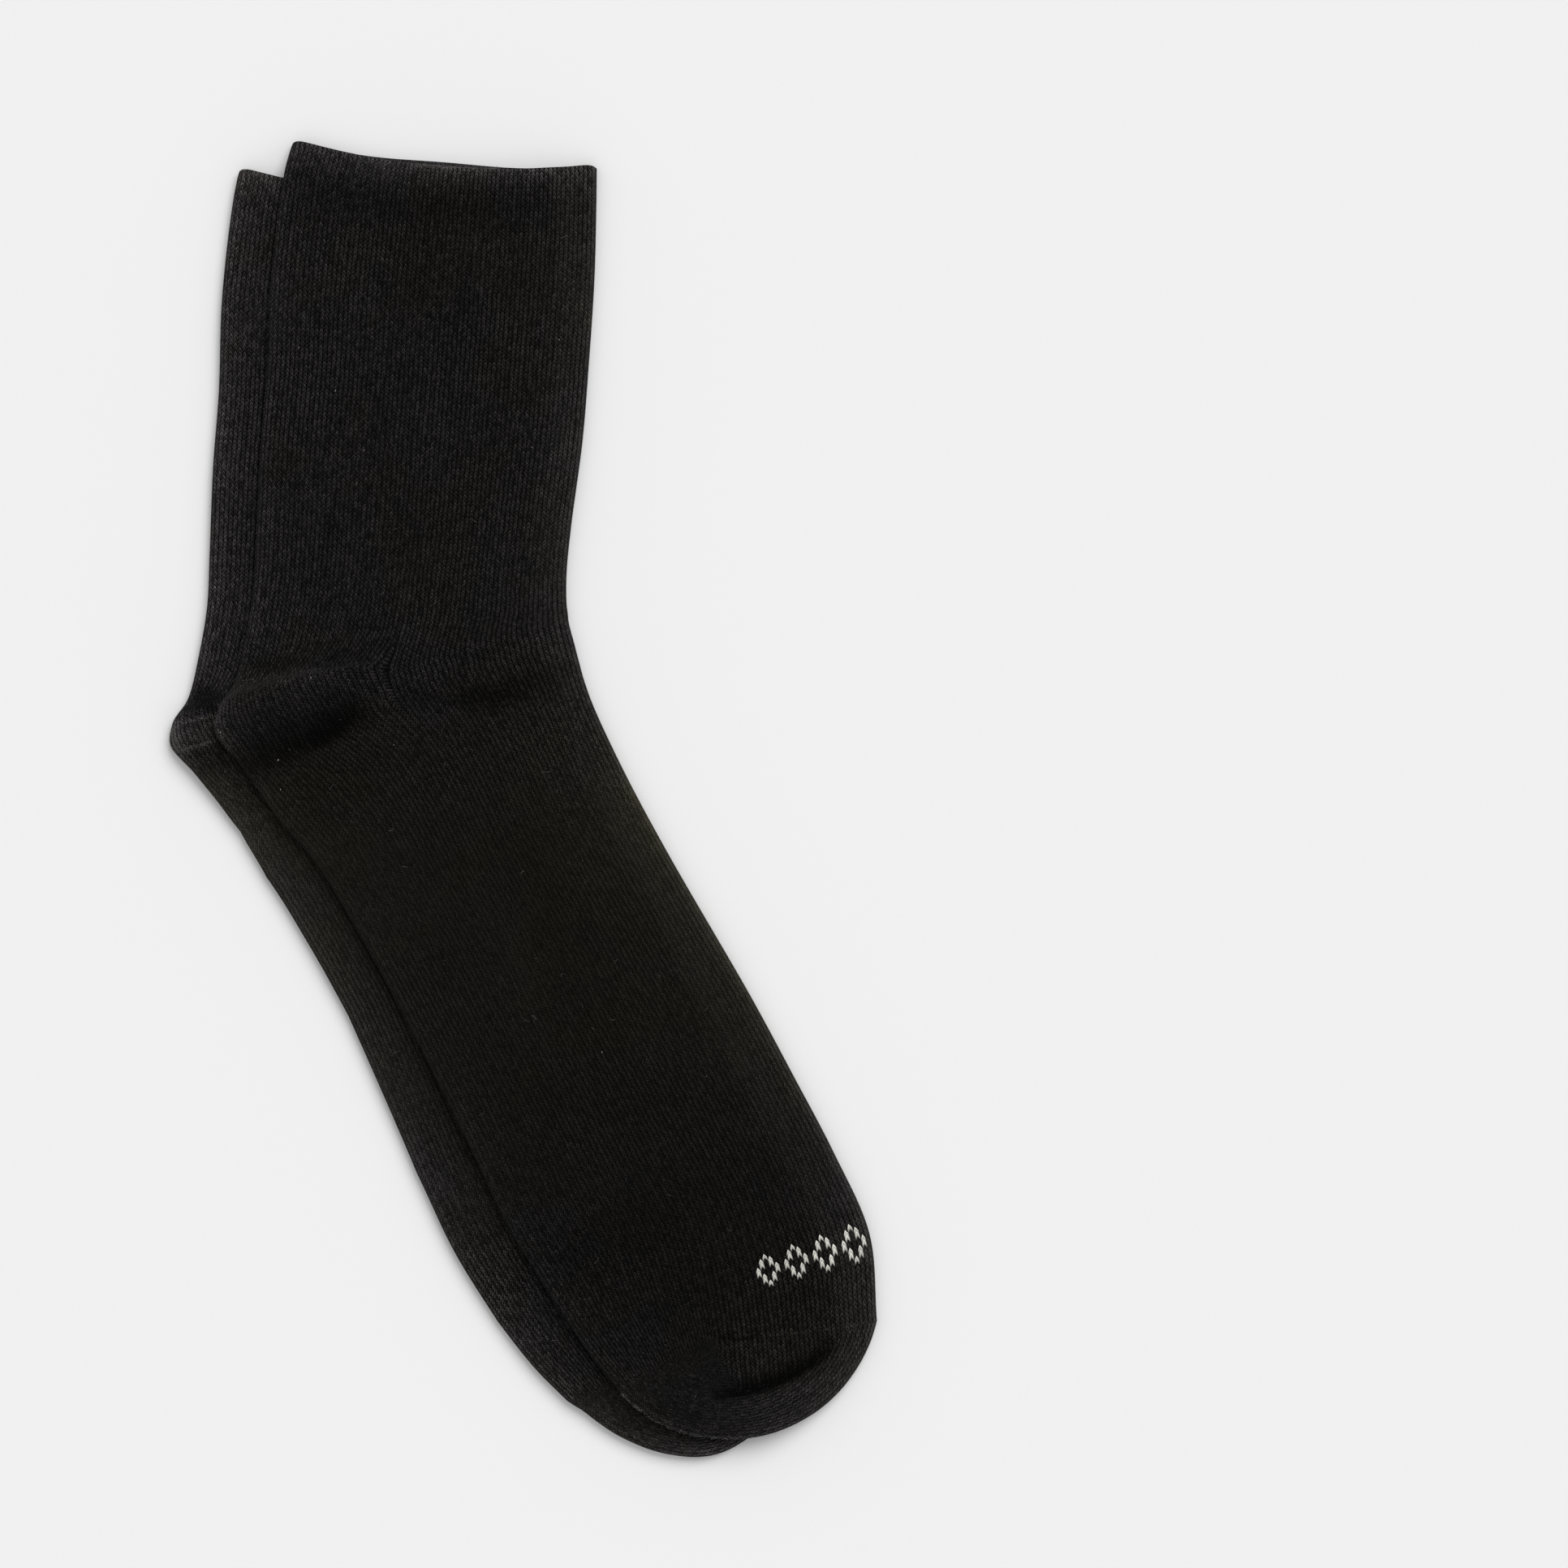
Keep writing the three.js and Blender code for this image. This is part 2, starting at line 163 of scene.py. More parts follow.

# Painted light and shade: how much lighter (above zero) or darker the cloth is painted, as a natural
# logarithm; painted shade in troughs, creases and hollows, painted highlights on ridges, puffs,
# rolls, seams and edges
TOP_PAINTED_LIGHT = [
    Stroke("cuff trough", (-62, 156), (-20, 151), (20, 152), -0.3, 5, 5),
    Stroke("heel ridge", (-88, 19), (-66, 30.5), (-44, 33.0), 0.4, 1.6, 4.0),
    Stroke("back of heel", (-77, 29), (-79.5, 18), (-73, 7), 0.75, 3.5, 3),
    Stroke("above heel", (-80, 32.5), (-60, 34.0), (-36, 37), -0.2, 4.5, 1.6),
    Stroke("heel hollow", (-80, 4), (-58.0, 13.2), (-38, 23), -1.15, 6.4, 3.2),
    Stroke("end of heel hollow", (-55, 12.5), (-46.5, 17.5), (-42, 24), -0.95, 4.6, 0.9),
    Stroke("below heel", (-74, -2), (-48, 5), (-24, 14), -0.08, 8, 10),
    Stroke("second ankle fold", (-34, 26), (-17, 25.5), (0, 27), -0.4, 3.5, 3),
    Stroke("front of ankle", (-17, 25), (-1, 28), (15, 34), -0.6, 3.2, 4),
    Stroke("ball of foot", (-18, -80), (28, -77.6), (62, -80), -0.16, 5, 5),
    Stroke("toe base", (8, -123), (40, -106), (74, -89), -0.3, 8, 9),
    Stroke("toe box", (14, -138), (46, -126), (84, -116), -0.12, 10, 10),
    Stroke("toe corner", (8, -140), (24, -145), (36, -156), 0.15, 8, 8),
    Stroke("toe puff", (52, -144), (64, -144), (77, -138.5), 0.16, 4, 4),
    Stroke("toe crease", (49, -154.6), (66, -151), (81, -141), -2.1, 2.6, 0.9),
    Stroke("toe roll", (46, -158), (69, -154), (85, -143), 0.4, 3, 4),
    Stroke("seam start", (50, -138.4), (56, -139.5), (62, -138.0), -1.1, 0.4, 0.4),
    Stroke("seam", (60, -138.6), (76, -137.2), (93, -135.2), 0.35, 0.4, 0.4),
    Stroke("toe edge", (22, -151), (43.6, -163.9), (62, -165.4), 0.7, 0.6, 0.6),
]
UNDER_PAINTED_LIGHT = [
    Stroke("heel tip", (-90, 22), (-91, 16), (-87, 9), 0.7, 3, 3),
    Stroke("heel cap", (-92, 15.5), (-84, 17.0), (-76, 18.0), 0.4, 2.4, 2.4),
    Stroke("heel hollow", (-90, 30), (-83.5, 25.5), (-78, 24.5), -1.0, 3.5, 2.5),
    Stroke("below heel", (-85, 9.5), (-81, 9.5), (-76, 8), -0.4, 2.5, 3),
]

# Lines along which fibre ends stand thick, and how far they stray from them in millimetres
NapLine = namedtuple("NapLine", "name start via end fibres stray")
NAP_LINES = [
    NapLine("upper gore of under heel", (-89.3, 19.2), (-84.7, 20.1), (-79.6, 21.1), 70, 0.25),
    NapLine("lower gore of under heel", (-88.2, 12.0), (-83.5, 13.4), (-79.0, 14.7), 70, 0.25),
    NapLine("tip of under heel", (-89.6, 18.4), (-90.5, 15.4), (-88.6, 12.4), 60, 0.5),
    NapLine("back of top heel", (-77.8, 24), (-78.2, 18), (-75.4, 12), 26, 0.9),
    NapLine("ridge of top heel", (-74, 29.5), (-65, 31), (-52, 33), 30, 1.0),
    NapLine("frayed rim of top cuff", (-28, 163.3), (-17, 162.5), (-6, 162.2), 420, 0.3),
    NapLine("end of toe seam", (62, -138.4), (76, -137.2), (90, -135.6), 26, 0.2),
]

# Bearings from the toe apex and reach of the toe crease, inside which the toe's puff lies
TOE_CREASE = [(285, 15.2), (301, 16.4), (317, 18.8), (333, 21.8), (349, 27.6), (366, 38)]
PUFF_STARTS = 291  # bearing

# Specks of lint on the pair, where they lie seen from above
LINT = [
    (-62.7, 9.6),
    (-86.8, 19.2),
    (-54.1, 30.8),
    (2.6, 90.2),
    (-77.6, 16.7),
    (-40.6, 89.4),
    (9.6, 117.9),
    (-57.4, 115.8),
    (-21.1, 96.1),
    (-62.1, 2.0),
    (-64.6, 125.7),
    (-62.9, 148.2),
    (-48.0, 104.7),
    (20.7, -65.6),
    (-32.9, 13.5),
    (-75.9, 106.6),
    (-20.2, 162.4),
    (-19.3, 162.35),
    (-12.6, 162.1),
]
NAPPED_TOE = (212, 300)  # bearings of the top sock's toe edge that fibre ends stand along

# back_light is the share of the front fold's painted highlight that the back fold gets, fade how much
# the cloth darkens from heel to toe, and base how light it is as a whole
Sock = namedtuple("Sock", "node shifts toe relief tone back_light fade base heel_puff waves")
UNDER_SOCK = Sock(
    "under_sock", UNDER_SHIFTS, UNDER_TOE, UNDER_RELIEF, UNDER_PAINTED_LIGHT, 1.0, 0.2, 1.28, 0, 0.12
)
TOP_SOCK = Sock(
    "top_sock", NO_SHIFTS, TOP_TOE, TOP_RELIEF, TOP_PAINTED_LIGHT, 0.25, 0.21, 0.95, 1, 0.24
)


class SockSizes(bpy.types.PropertyGroup):
    """Sizes of the cloth and of the way it lies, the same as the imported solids'."""

    wall: FloatProperty(
        name="Wall", description="Thickness of the knit", default=1.1 * MM, unit="LENGTH"
    )
    thickness: FloatProperty(
        name="Laid thickness",
        description="A sock lying flat: two walls and the air between them",
        default=3.8 * MM,
        unit="LENGTH",
    )
    seat_gap: FloatProperty(
        name="Seat gap", description="Between the two socks", default=0.3 * MM, unit="LENGTH"
    )
    drape_from: FloatProperty(
        name="Drape from",
        description="How far past the under sock the top one starts to come down",
        default=1.5 * MM,
        unit="LENGTH",
    )
    drape_to: FloatProperty(
        name="Drape to",
        description="How far past the under sock the top one lies on the surface",
        default=10.5 * MM,
        unit="LENGTH",
    )
    rim_roll: FloatProperty(
        name="Rim roll",
        description="How far the cuff's rim rounds out past its edge",
        default=0.4 * MM,
        unit="LENGTH",
    )
    rim_corner: FloatProperty(
        name="Rim corner",
        description="How far the cuff's rim drops where it turns round a fold",
        default=1.3 * MM,
        unit="LENGTH",
    )
    back_rim_shows: FloatProperty(
        name="Back rim shows",
        description="How far the back layer's rim stands above the front one's, mid cuff",
        default=1.4 * MM,
        unit="LENGTH",
    )
    cut: FloatVectorProperty(
        name="Cut",
        description="One sock's knit opened out flat: width round the tube, and length",
        size=2,
        default=(158 * MM, 360 * MM),
        unit="LENGTH",
    )
    course_step: FloatProperty(
        name="Mesh step",
        description="Longest stretch of cloth between two rows of the mesh",
        default=1.5 * MM,
        unit="LENGTH",
    )


class KnitLook(bpy.types.PropertyGroup):
    """Gauge, colours and finish of the knit."""

    wales: IntProperty(
        name="Wales", description="Columns of stitches round the tube", default=144, min=4
    )
    course_height: FloatProperty(
        name="Course height",
        description="Height of one row of stitches",
        default=0.98 * MM,
        unit="LENGTH",
    )
    yarn: FloatVectorProperty(
        name="Yarn",
        description="Colour of the black cotton yarn",
        subtype="COLOR",
        size=3,
        min=0,
        max=1,
        default=(0.0071, 0.0065, 0.0068),
    )
    # The knit is tinted towards this colour as painted warm light, down the foot and towards the
    # front fold
    warm_yarn: FloatVectorProperty(
        name="Warm yarn",
        description="Colour of the yarn where its dye turns browner, as down the foot",
        subtype="COLOR",
        size=3,
        min=0,
        max=1,
        default=(0.0074, 0.0068, 0.0048),
    )
    mark: FloatVectorProperty(
        name="Mark",
        description="Colour of the yarn of the knitted-in mark",
        subtype="COLOR",
        size=3,
        min=0,
        max=1,
        default=(0.56, 0.55, 0.50),
    )
    roughness: FloatProperty(
        name="Roughness", description="Roughness of the yarn", default=0.92, subtype="FACTOR"
    )
    gloss: FloatProperty(
        name="Gloss", description="Strength of the yarn's reflection", default=0.02, subtype="FACTOR"
    )
    sheen: FloatProperty(
        name="Sheen", description="Light caught by the nap", default=0.02, subtype="FACTOR"
    )
    bump: FloatProperty(
        name="Stitch depth",
        description="Depth of the grooves between stitches",
        default=0.3 * MM,
        unit="LENGTH",
    )


class FluffLook(bpy.types.PropertyGroup):
    """Stray fibre ends and specks of lint."""

    fibres: IntProperty(
        name="Fibres", description="Stray fibre ends spread over the pair", default=130, min=1
    )
    toe_fibres: IntProperty(
        name="Toe fibres", description="Fibre ends along the top sock's toe edge", default=240, min=1
    )
    rim_fibres: IntProperty(
        name="Rim fibres", description="Fibre ends along the top cuff's rim", default=110, min=1
    )
    longest: FloatProperty(
        name="Longest", description="Longest fibre end", default=2.0 * MM, unit="LENGTH"
    )
    thickness: FloatProperty(
        name="Thickness", description="Thickness of a fibre end", default=0.05 * MM, unit="LENGTH"
    )
    speck: FloatProperty(
        name="Speck", description="Width of a common speck of lint", default=0.36 * MM, unit="LENGTH"
    )
    fibre: FloatVectorProperty(
        name="Fibre",
        description="Colour of fibre ends that catch the light",
        subtype="COLOR",
        size=3,
        min=0,
        max=1,
        default=(0.16, 0.155, 0.15),
    )
    lint: FloatVectorProperty(
        name="Lint",
        description="Colour of specks of lint",
        subtype="COLOR",
        size=3,
        min=0,
        max=1,
        default=(0.34, 0.34, 0.32),
    )


class StageLook(bpy.types.PropertyGroup):
    """Floor, light and camera."""

    floor: FloatProperty(
        name="Floor", description="How pale the floor is", default=0.86, subtype="FACTOR"
    )
    sky: FloatProperty(
        name="Sky", description="Strength of the even light from all round", default=0.6
    )
    key: FloatProperty(
        name="Key", description="Strength of the soft light from beyond the cuffs", default=1.75
    )
    photo_width: FloatProperty(
        name="Photo width",
        description="Width of the surface that the picture takes in",
        default=405.7 * MM,
        unit="LENGTH",
    )
    photo_centre: FloatVectorProperty(
        name="Photo centre",
        description="Place on the surface at the picture's centre",
        size=2,
        default=(67.4 * MM, 3.8 * MM),
        unit="LENGTH",
    )
    camera_height: FloatProperty(
        name="Camera height",
        description="Height of the camera over the surface",
        default=1.7,
        unit="LENGTH",
    )


def settings():
    return bpy.context.scene.socks


def laid_pair(sizes):
    """The under and the top sock as they lie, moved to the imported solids' place."""
    under, top = (LaidSock(sock, sizes) for sock in (UNDER_SOCK, TOP_SOCK))
    under_outline = under.outline()
    ends = np.concatenate([under_outline, top.outline()])
    middle = (ends.min(axis=0) + ends.max(axis=0)) / 2
    offset = (np.array(CAD_BOX[0]) + CAD_BOX[1])[:2] / 2 - middle

    def over_under_sock(points):
        outside = distance_outside(points, under_outline)
        down = smooth_step(outside, sizes.drape_from, sizes.drape_to)
        return (sizes.thickness + sizes.seat_gap) * (1 - down)

    def on_the_surface(points):
        return np.zeros(len(points))

    under.offset = top.offset = offset
    under.drape, top.drape = on_the_surface, over_under_sock
    # cover is the top sock's outline, beside which the under sock is painted lighter against the
    # shade there
    under.cover, top.cover = top.outline(), None
    return under, top


# Shape of a laid sock, worked out in metres


def smooth_step(value, low, high):
    share = np.clip((value - low) / (high - low), 0, 1)
    return share * share * (3 - 2 * share)


def smooth_curve(points, place):
    """The point at a place, counted in rows, of a smooth curve through the rows' points."""
    last = len(points) - 1
    row = min(int(place), last - 1)
    start, end = points[row], points[row + 1]
    before = points[row - 1] if row else 2 * start - end
    after = points[row + 2] if row + 1 < last else 2 * end - start
    first, middle, third = (
        max(np.linalg.norm(b - a) ** 0.5, 1e-6)
        for a, b in ((before, start), (start, end), (end, after))
    )
    leaving = (start - before) / first - (end - before) / (first + middle)
    leaving = (leaving + (end - start) / middle) * middle
    arriving = (end - start) / middle - (after - start) / (middle + third)
    arriving = (arriving + (after - end) / third) * middle
    w = place - row
    bend = -3 * start + 3 * end - 2 * leaving - arriving
    return start + w * leaving + w * w * bend + w**3 * (2 * start - 2 * end + leaving + arriving)


def row_of(name):
    return next(i for i, course in enumerate(COURSES) if course.name == name)


def shift_at(shifts, place):
    rows = [row_of(name) for name in shifts]
    return np.array([np.interp(place, rows, way) for way in zip(*shifts.values())])


def heel_share(t):
    """How much of the heel's bow and rise a wale takes: none at the back fold and mid wale."""
    return np.where((t > 0) & (t < 0.5), np.sin(2 * np.pi * np.clip(t, 0, 0.5)), 0)


def mesh_places(step):
    """Table places of the mesh rows, closer where the cloth is longer, and close at the rim."""
    places = [0, 0.02, 0.05]
    for row, (course, after) in enumerate(zip(COURSES, COURSES[1:])):
        ends = ((course.back, after.back), (course.middle, after.middle), (course.front, after.front))
        longest = max(math.dist(a, b) for a, b in ends) * MM
        count = math.ceil(longest / step)
        places += [row + k / count for k in range(count) if row + k / count > 0.05]
    return np.array([*places, len(COURSES) - 1])


class LaidSock:
    """The courses of one sock as it lies, and the places of their points seen from above."""

    def __init__(self, sock, sizes):
        self.sock = sock
        self.fold = sizes.thickness / 2
        self.places = mesh_places(sizes.course_step)
        shifts = [shift_at(sock.shifts, place) for place in self.places]

        def through(column):
            points = [np.array(getattr(course, column), dtype=float) for course in COURSES]
            curve = [smooth_curve(points, place) for place in self.places]
            return (np.array(curve) + shifts) * MM

        self.back, self.middle, self.front = (through(name) for name in ("back", "middle", "front"))
        heel = [np.array([course.lens, course.rise, row]) for row, course in enumerate(COURSES)]
        heel = np.array([smooth_curve(heel, place) for place in self.places])
        self.lens, self.rise = heel[:, 0] * MM, heel[:, 1] * MM * sock.heel_puff
        last = len(COURSES) - 1
        self.straight = smooth_step(self.places, last - STRAIGHT_ROWS, last)
        self.toe = [np.array([bearing, reach, 0.0]) for bearing, reach in sock.toe]

    def is_leg(self, y):
        return smooth_step(y, -30 * MM, 30 * MM)

    def plan(self, t):
        """Points of all courses seen from above, t from 0 at the back fold to 1 at the front."""
        back, middle, front = (ends[:, None, :] for ends in (self.back, self.middle, self.front))
        share = t[..., None]
        bowed = back * (1 - share) * (1 - 2 * share) + middle * 4 * share * (1 - share)
        bowed = bowed + front * share * (2 * share - 1)
        sole = back + (middle - back) * 2 * share
        instep = middle + (front - middle) * (2 * share - 1)
        halves = np.where(share < 0.5, sole, instep)
        points = bowed + (halves - bowed) * self.straight[:, None, None]
        points[..., 1] += self.lens[:, None] * heel_share(t) ** LENS_FULLNESS
        apart = 0.15 * MM * np.arange(len(points))[:, None]  # keeps the heel's rows from crossing
        points[..., 1] = np.minimum.accumulate(points[..., 1] + apart, axis=0) - apart
        return points

    def toe_ray(self, share):
        """Direction from the toe apex and reach of the outline, share of the way round it."""
        bearing, reach, _ = smooth_curve(self.toe, share * (len(self.toe) - 1))
        angle = math.radians(bearing)
        return np.array([math.cos(angle), math.sin(angle)]), reach * MM

    def outline(self, steps=48):
        """The sock's outline seen from above, once round."""
        toe = [self.toe_ray(k / steps) for k in range(steps + 1)]
        toe = [self.middle[-1] + direction * reach for direction, reach in toe]
        across = np.linspace(0.98, 0.02, steps)[None, :].repeat(len(self.places), axis=0)
        cuff = self.plan(across)[0]
        return np.concatenate([self.back, toe, self.front[::-1], cuff])


def distance_outside(points, outline):
    """Distance of each point from an outline seen from above, below zero inside it."""
    nearest = np.full(len(points), np.inf)
    inside = np.zeros(len(points), dtype=bool)
    for start, end in zip(outline, np.roll(outline, -1, axis=0)):
        edge, way = end - start, points - start
        share = np.clip(way @ edge / max(edge @ edge, 1e-15), 0, 1)
        nearest = np.minimum(nearest, np.linalg.norm(way - share[:, None] * edge, axis=1))
        crosses = (start[1] > points[:, 1]) != (end[1] > points[:, 1])
        if crosses.any():
            reach = start[0] + way[:, 1] / edge[1] * edge[0]
            inside ^= crosses & (points[:, 0] < reach)
    return np.where(inside, -nearest, nearest)


def bowed_line(ends, steps=48):
    """Points of the bowed line through a start, a middle and an end place."""
    start, via, end = (np.array(place, dtype=float) * MM for place in ends)
    share = np.linspace(0, 1, steps)[:, None]
    line = start * (1 - share) * (1 - 2 * share) + via * 4 * share * (1 - share)
    return line + end * share * (2 * share - 1)


def sum_of_strokes(points, strokes):
    """What the strokes add up to at points seen from above."""
    total = np.zeros(len(points))
    for stroke in strokes:
        line = bowed_line((stroke.start, stroke.via, stroke.end))
        ways = points[:, None, :] - line[None]
        away = np.linalg.norm(ways, axis=2)
        nearest = away.argmin(axis=1)
        along = np.gradient(line, axis=0)[nearest]
        way = ways[np.arange(len(points)), nearest]
        is_left = along[:, 0] * way[:, 1] - along[:, 1] * way[:, 0] > 0
        width = np.where(is_left, stroke.left, stroke.right) * MM
        fade = np.sqrt(np.sin(np.pi * nearest / (len(line) - 1)).clip(0, 1))
        total += stroke.amount * fade * np.exp(-((away.min(axis=1) / width) ** 2))
    return total


def soft_waves(points, seed, length, count=14):
    """A smooth uneven field of about -1 to 1, with waves of about the given length."""
    random = np.random.default_rng(seed)
    total = np.zeros(len(points))
    for _ in range(count):
        angle, phase = random.uniform(0, 2 * math.pi, 2)
        turns = 2 * math.pi / (length * random.uniform(0.6, 1.6))
        total += np.sin(points @ (math.cos(angle), math.sin(angle)) * turns + phase)
    return total / math.sqrt(count)


def upper_relief(points, sock):
    """Creases, puffs and waves of a sock's upper layer."""
    seed = 3 + sock.heel_puff
    waves = soft_waves(points, seed, 0.034) * 0.7 + soft_waves(points, seed + 9, 0.009) * 0.18
    return (sum_of_strokes(points, sock.relief) + waves * sock.waves) * MM


# Half a section, from the top of the middle wale round a fold to its underside
Section = namedtuple("Section", "share out up wale")
TOP_COLUMNS, FOLD_COLUMNS, UNDER_COLUMNS = 36, 8, 12
COLUMN_CROWDING = 1.3  # above 1, columns stand closer near the folds


def half_section(sizes, wales):
    """Shares of the way in from the fold, directions round it, and the wale of each column."""
    top = np.linspace(1, 0, TOP_COLUMNS + 1) ** COLUMN_CROWDING
    under = np.linspace(0, 1, UNDER_COLUMNS + 1) ** COLUMN_CROWDING
    angle = np.linspace(90, -90, FOLD_COLUMNS + 1)[1:-1] * math.pi / 180
    share = np.concatenate([top, np.zeros(len(angle)), under])
    out = np.concatenate([np.zeros(len(top)), np.cos(angle), np.zeros(len(under))])
    up = np.concatenate([np.ones(len(top)), np.sin(angle), -np.ones(len(under))])
    fold = sizes.thickness / 2
    across = (39.5 * MM - fold) * share - out * fold
    steps = np.hypot(np.diff(across), np.diff(up) * fold)
    wale = np.concatenate([[0], np.cumsum(steps)])
    return Section(share, out, up, wale / wale[-1] * wales / 2)


# A skin of points in rows and columns, the painted light and shade and the painted warm light on its
# knit, and how clear and coarse its knit shows there
Skin = namedtuple("Skin", "points light clarity warmth coarseness")

# How coarse the knit looks on the way down the sock: places along Y in millimetres, and strengths
COARSENESS = ((-125, -100, -60, -15, 30), (1.6, 1.2, 0.98, 0.8, 1.6))


def make_skin(laid, plan, up, rise, rim, from_fold, across, from_rim, clarity):
    """Lifts places seen from above to their height, and gives them their painted light and shade and
    their painted warm light.
    """
    sock = laid.sock
    shape = up.shape
    flat = plan.reshape(-1, 2)
    upper = np.maximum(0, up)
    relief = upper_relief(flat, sock).reshape(shape)
    height = laid.fold + up * (laid.fold - rim) + laid.drape(flat).reshape(shape)
    height = height + upper * (rise + relief)

    front = smooth_step(across, 0.3, 0.7)
    side = sock.back_light + (1 - sock.back_light) * front
    inward = from_fold / MM
    foot = smooth_step(-plan[..., 1], -25 * MM, 0)
    toe = smooth_step(-plan[..., 1], 20 * MM, 130 * MM)
    # Painted highlights along the folds, where the light catches them: strongest on the front fold
    # and down the foot
    front_light = 1.6 * np.exp(-inward / 2) + 0.75 * np.exp(-inward / 10)
    # Painted highlight along the back fold, and a broad painted lightening down the back half of the
    # leg
    back_light = 0.5 * (1 - 0.7 * foot) * np.exp(-inward / 2)
    back_light = back_light + 0.3 * np.exp(-inward / 24) * laid.is_leg(plan[..., 1])
    light = 1 + side * front_light * (1 + 0.6 * foot * front) + (1 - side) * back_light
    # Painted highlight along the cuff's rim
    light += 2.4 * np.exp(-from_rim / (2.1 * MM))
    light *= sock.base * (1 - sock.fade * smooth_step(-plan[..., 1], -20 * MM, 140 * MM))
    # Painted light on the under sock beside the top sock's edge, lightening the shade there
    if laid.cover is not None:
        beside = distance_outside(flat, laid.cover).reshape(shape)
        light *= 1 + 0.15 * np.exp(-((beside / (2.5 * MM)) ** 2))
    waves = soft_waves(flat, 21 + sock.heel_puff, 0.04).reshape(shape)
    # Painted shade in the creases, troughs and hollows and painted highlights on the ridges and
    # edges, from the strokes
    tone = sum_of_strokes(flat, sock.tone).reshape(shape)
    # Painted warm light, more down the foot and towards the front fold
    warmth = (foot * (0.65 + 0.2 * across) + (1 - foot) * 0.3 * across) * (1 - 0.65 * toe)
    coarseness = np.interp(plan[..., 1] / MM, *COARSENESS) * (1 - 0.25 * front * np.exp(-inward / 4))
    averages = 1.19 - 0.25 * coarseness  # a coarser texture is lighter on average
    light = light * np.exp(upper * tone + 0.05 * waves) * averages
    points = np.concatenate([plan, height[..., None]], axis=-1)
    return Skin(points, light, clarity, warmth, coarseness)


def tube_skin(laid, section, sizes):
    """Outer skin of the tube: a row of points for each mesh course, once round."""
    halves = []
    from_rim = np.linalg.norm(laid.middle - laid.middle[0], axis=1)[:, None]
    for is_front, end in ((False, laid.back), (True, laid.front)):
        half = np.linalg.norm(end - laid.middle, axis=1)[:, None]
        from_fold = laid.fold + (half - laid.fold) * section.share - section.out * laid.fold
        t = 1 - from_fold / half / 2 if is_front else from_fold / half / 2
        plan = laid.plan(t)
        back_rim = sizes.back_rim_shows * np.clip(1 - from_rim / (9 * MM), 0, 1)
        plan[..., 1] += back_rim * np.where(section.up < 0, 1, 0) * np.sin(np.pi * t) ** 4
        plan[..., 1] += sizes.rim_roll * np.clip(1 - from_rim / (2 * MM), 0, 1)
        corner = np.clip(1 - from_rim / (3 * MM), 0, 1) ** 2 * np.exp(-from_fold / (1.1 * MM))
        plan[..., 1] -= sizes.rim_corner * corner
        lip = np.clip(1 - from_rim / (0.6 * MM), 0, 1)
        rim = 0.6 * MM * (1 - np.sqrt(1 - lip**2))
        up = np.broadcast_to(section.up, t.shape)
        rise = laid.rise[:, None] * heel_share(t)
        waves = soft_waves(plan.reshape(-1, 2), 5, 0.05).reshape(t.shape)
        clarity = np.clip(0.8 + 0.3 * t + 0.25 * waves, 0.35, 1.1)
        halves.append(make_skin(laid, plan, up, rise, rim, from_fold, t, from_rim, clarity))
    back, front = halves
    return Skin(*(np.concatenate([b, f[:, -2::-1]], axis=1) for b, f in zip(back, front)))


def toe_skin(laid, section, seam, fans=64):
    """Outer skin of the toe pocket: rows that fan round the toe apex, the seam at both ends."""
    last = len(section.share) - 1
    apex = laid.middle[-1]
    rows = [Skin(*(values[: last + 1] for values in seam))]
    for fan in range(1, fans):
        direction, reach = laid.toe_ray(fan / fans)
        from_fold = laid.fold + (reach - laid.fold) * section.share - section.out * laid.fold
        plan = apex + direction * (reach - from_fold)[:, None]
        clarity = 0.25 + 0.75 * smooth_step(fan / fans, 0.3, 0.7) + np.zeros(last + 1)
        row = make_skin(laid, plan, section.up, 0, 0, from_fold, fan / fans, 1.0, clarity)
        row.points[0], row.points[last] = seam.points[0], seam.points[last]
        rows.append(row)
    rows.append(Skin(*(values[::-1][: last + 1] for values in seam)))
    return Skin(*(np.array(values) for values in zip(*rows)))


HEEL_CHEVRON = 4.4  # wales by which the knit leans back towards the heel's gore line
CHEVRON_ABOVE, CHEVRON_BELOW = 11 * MM, 15 * MM  # how far from the gore line the knit leans


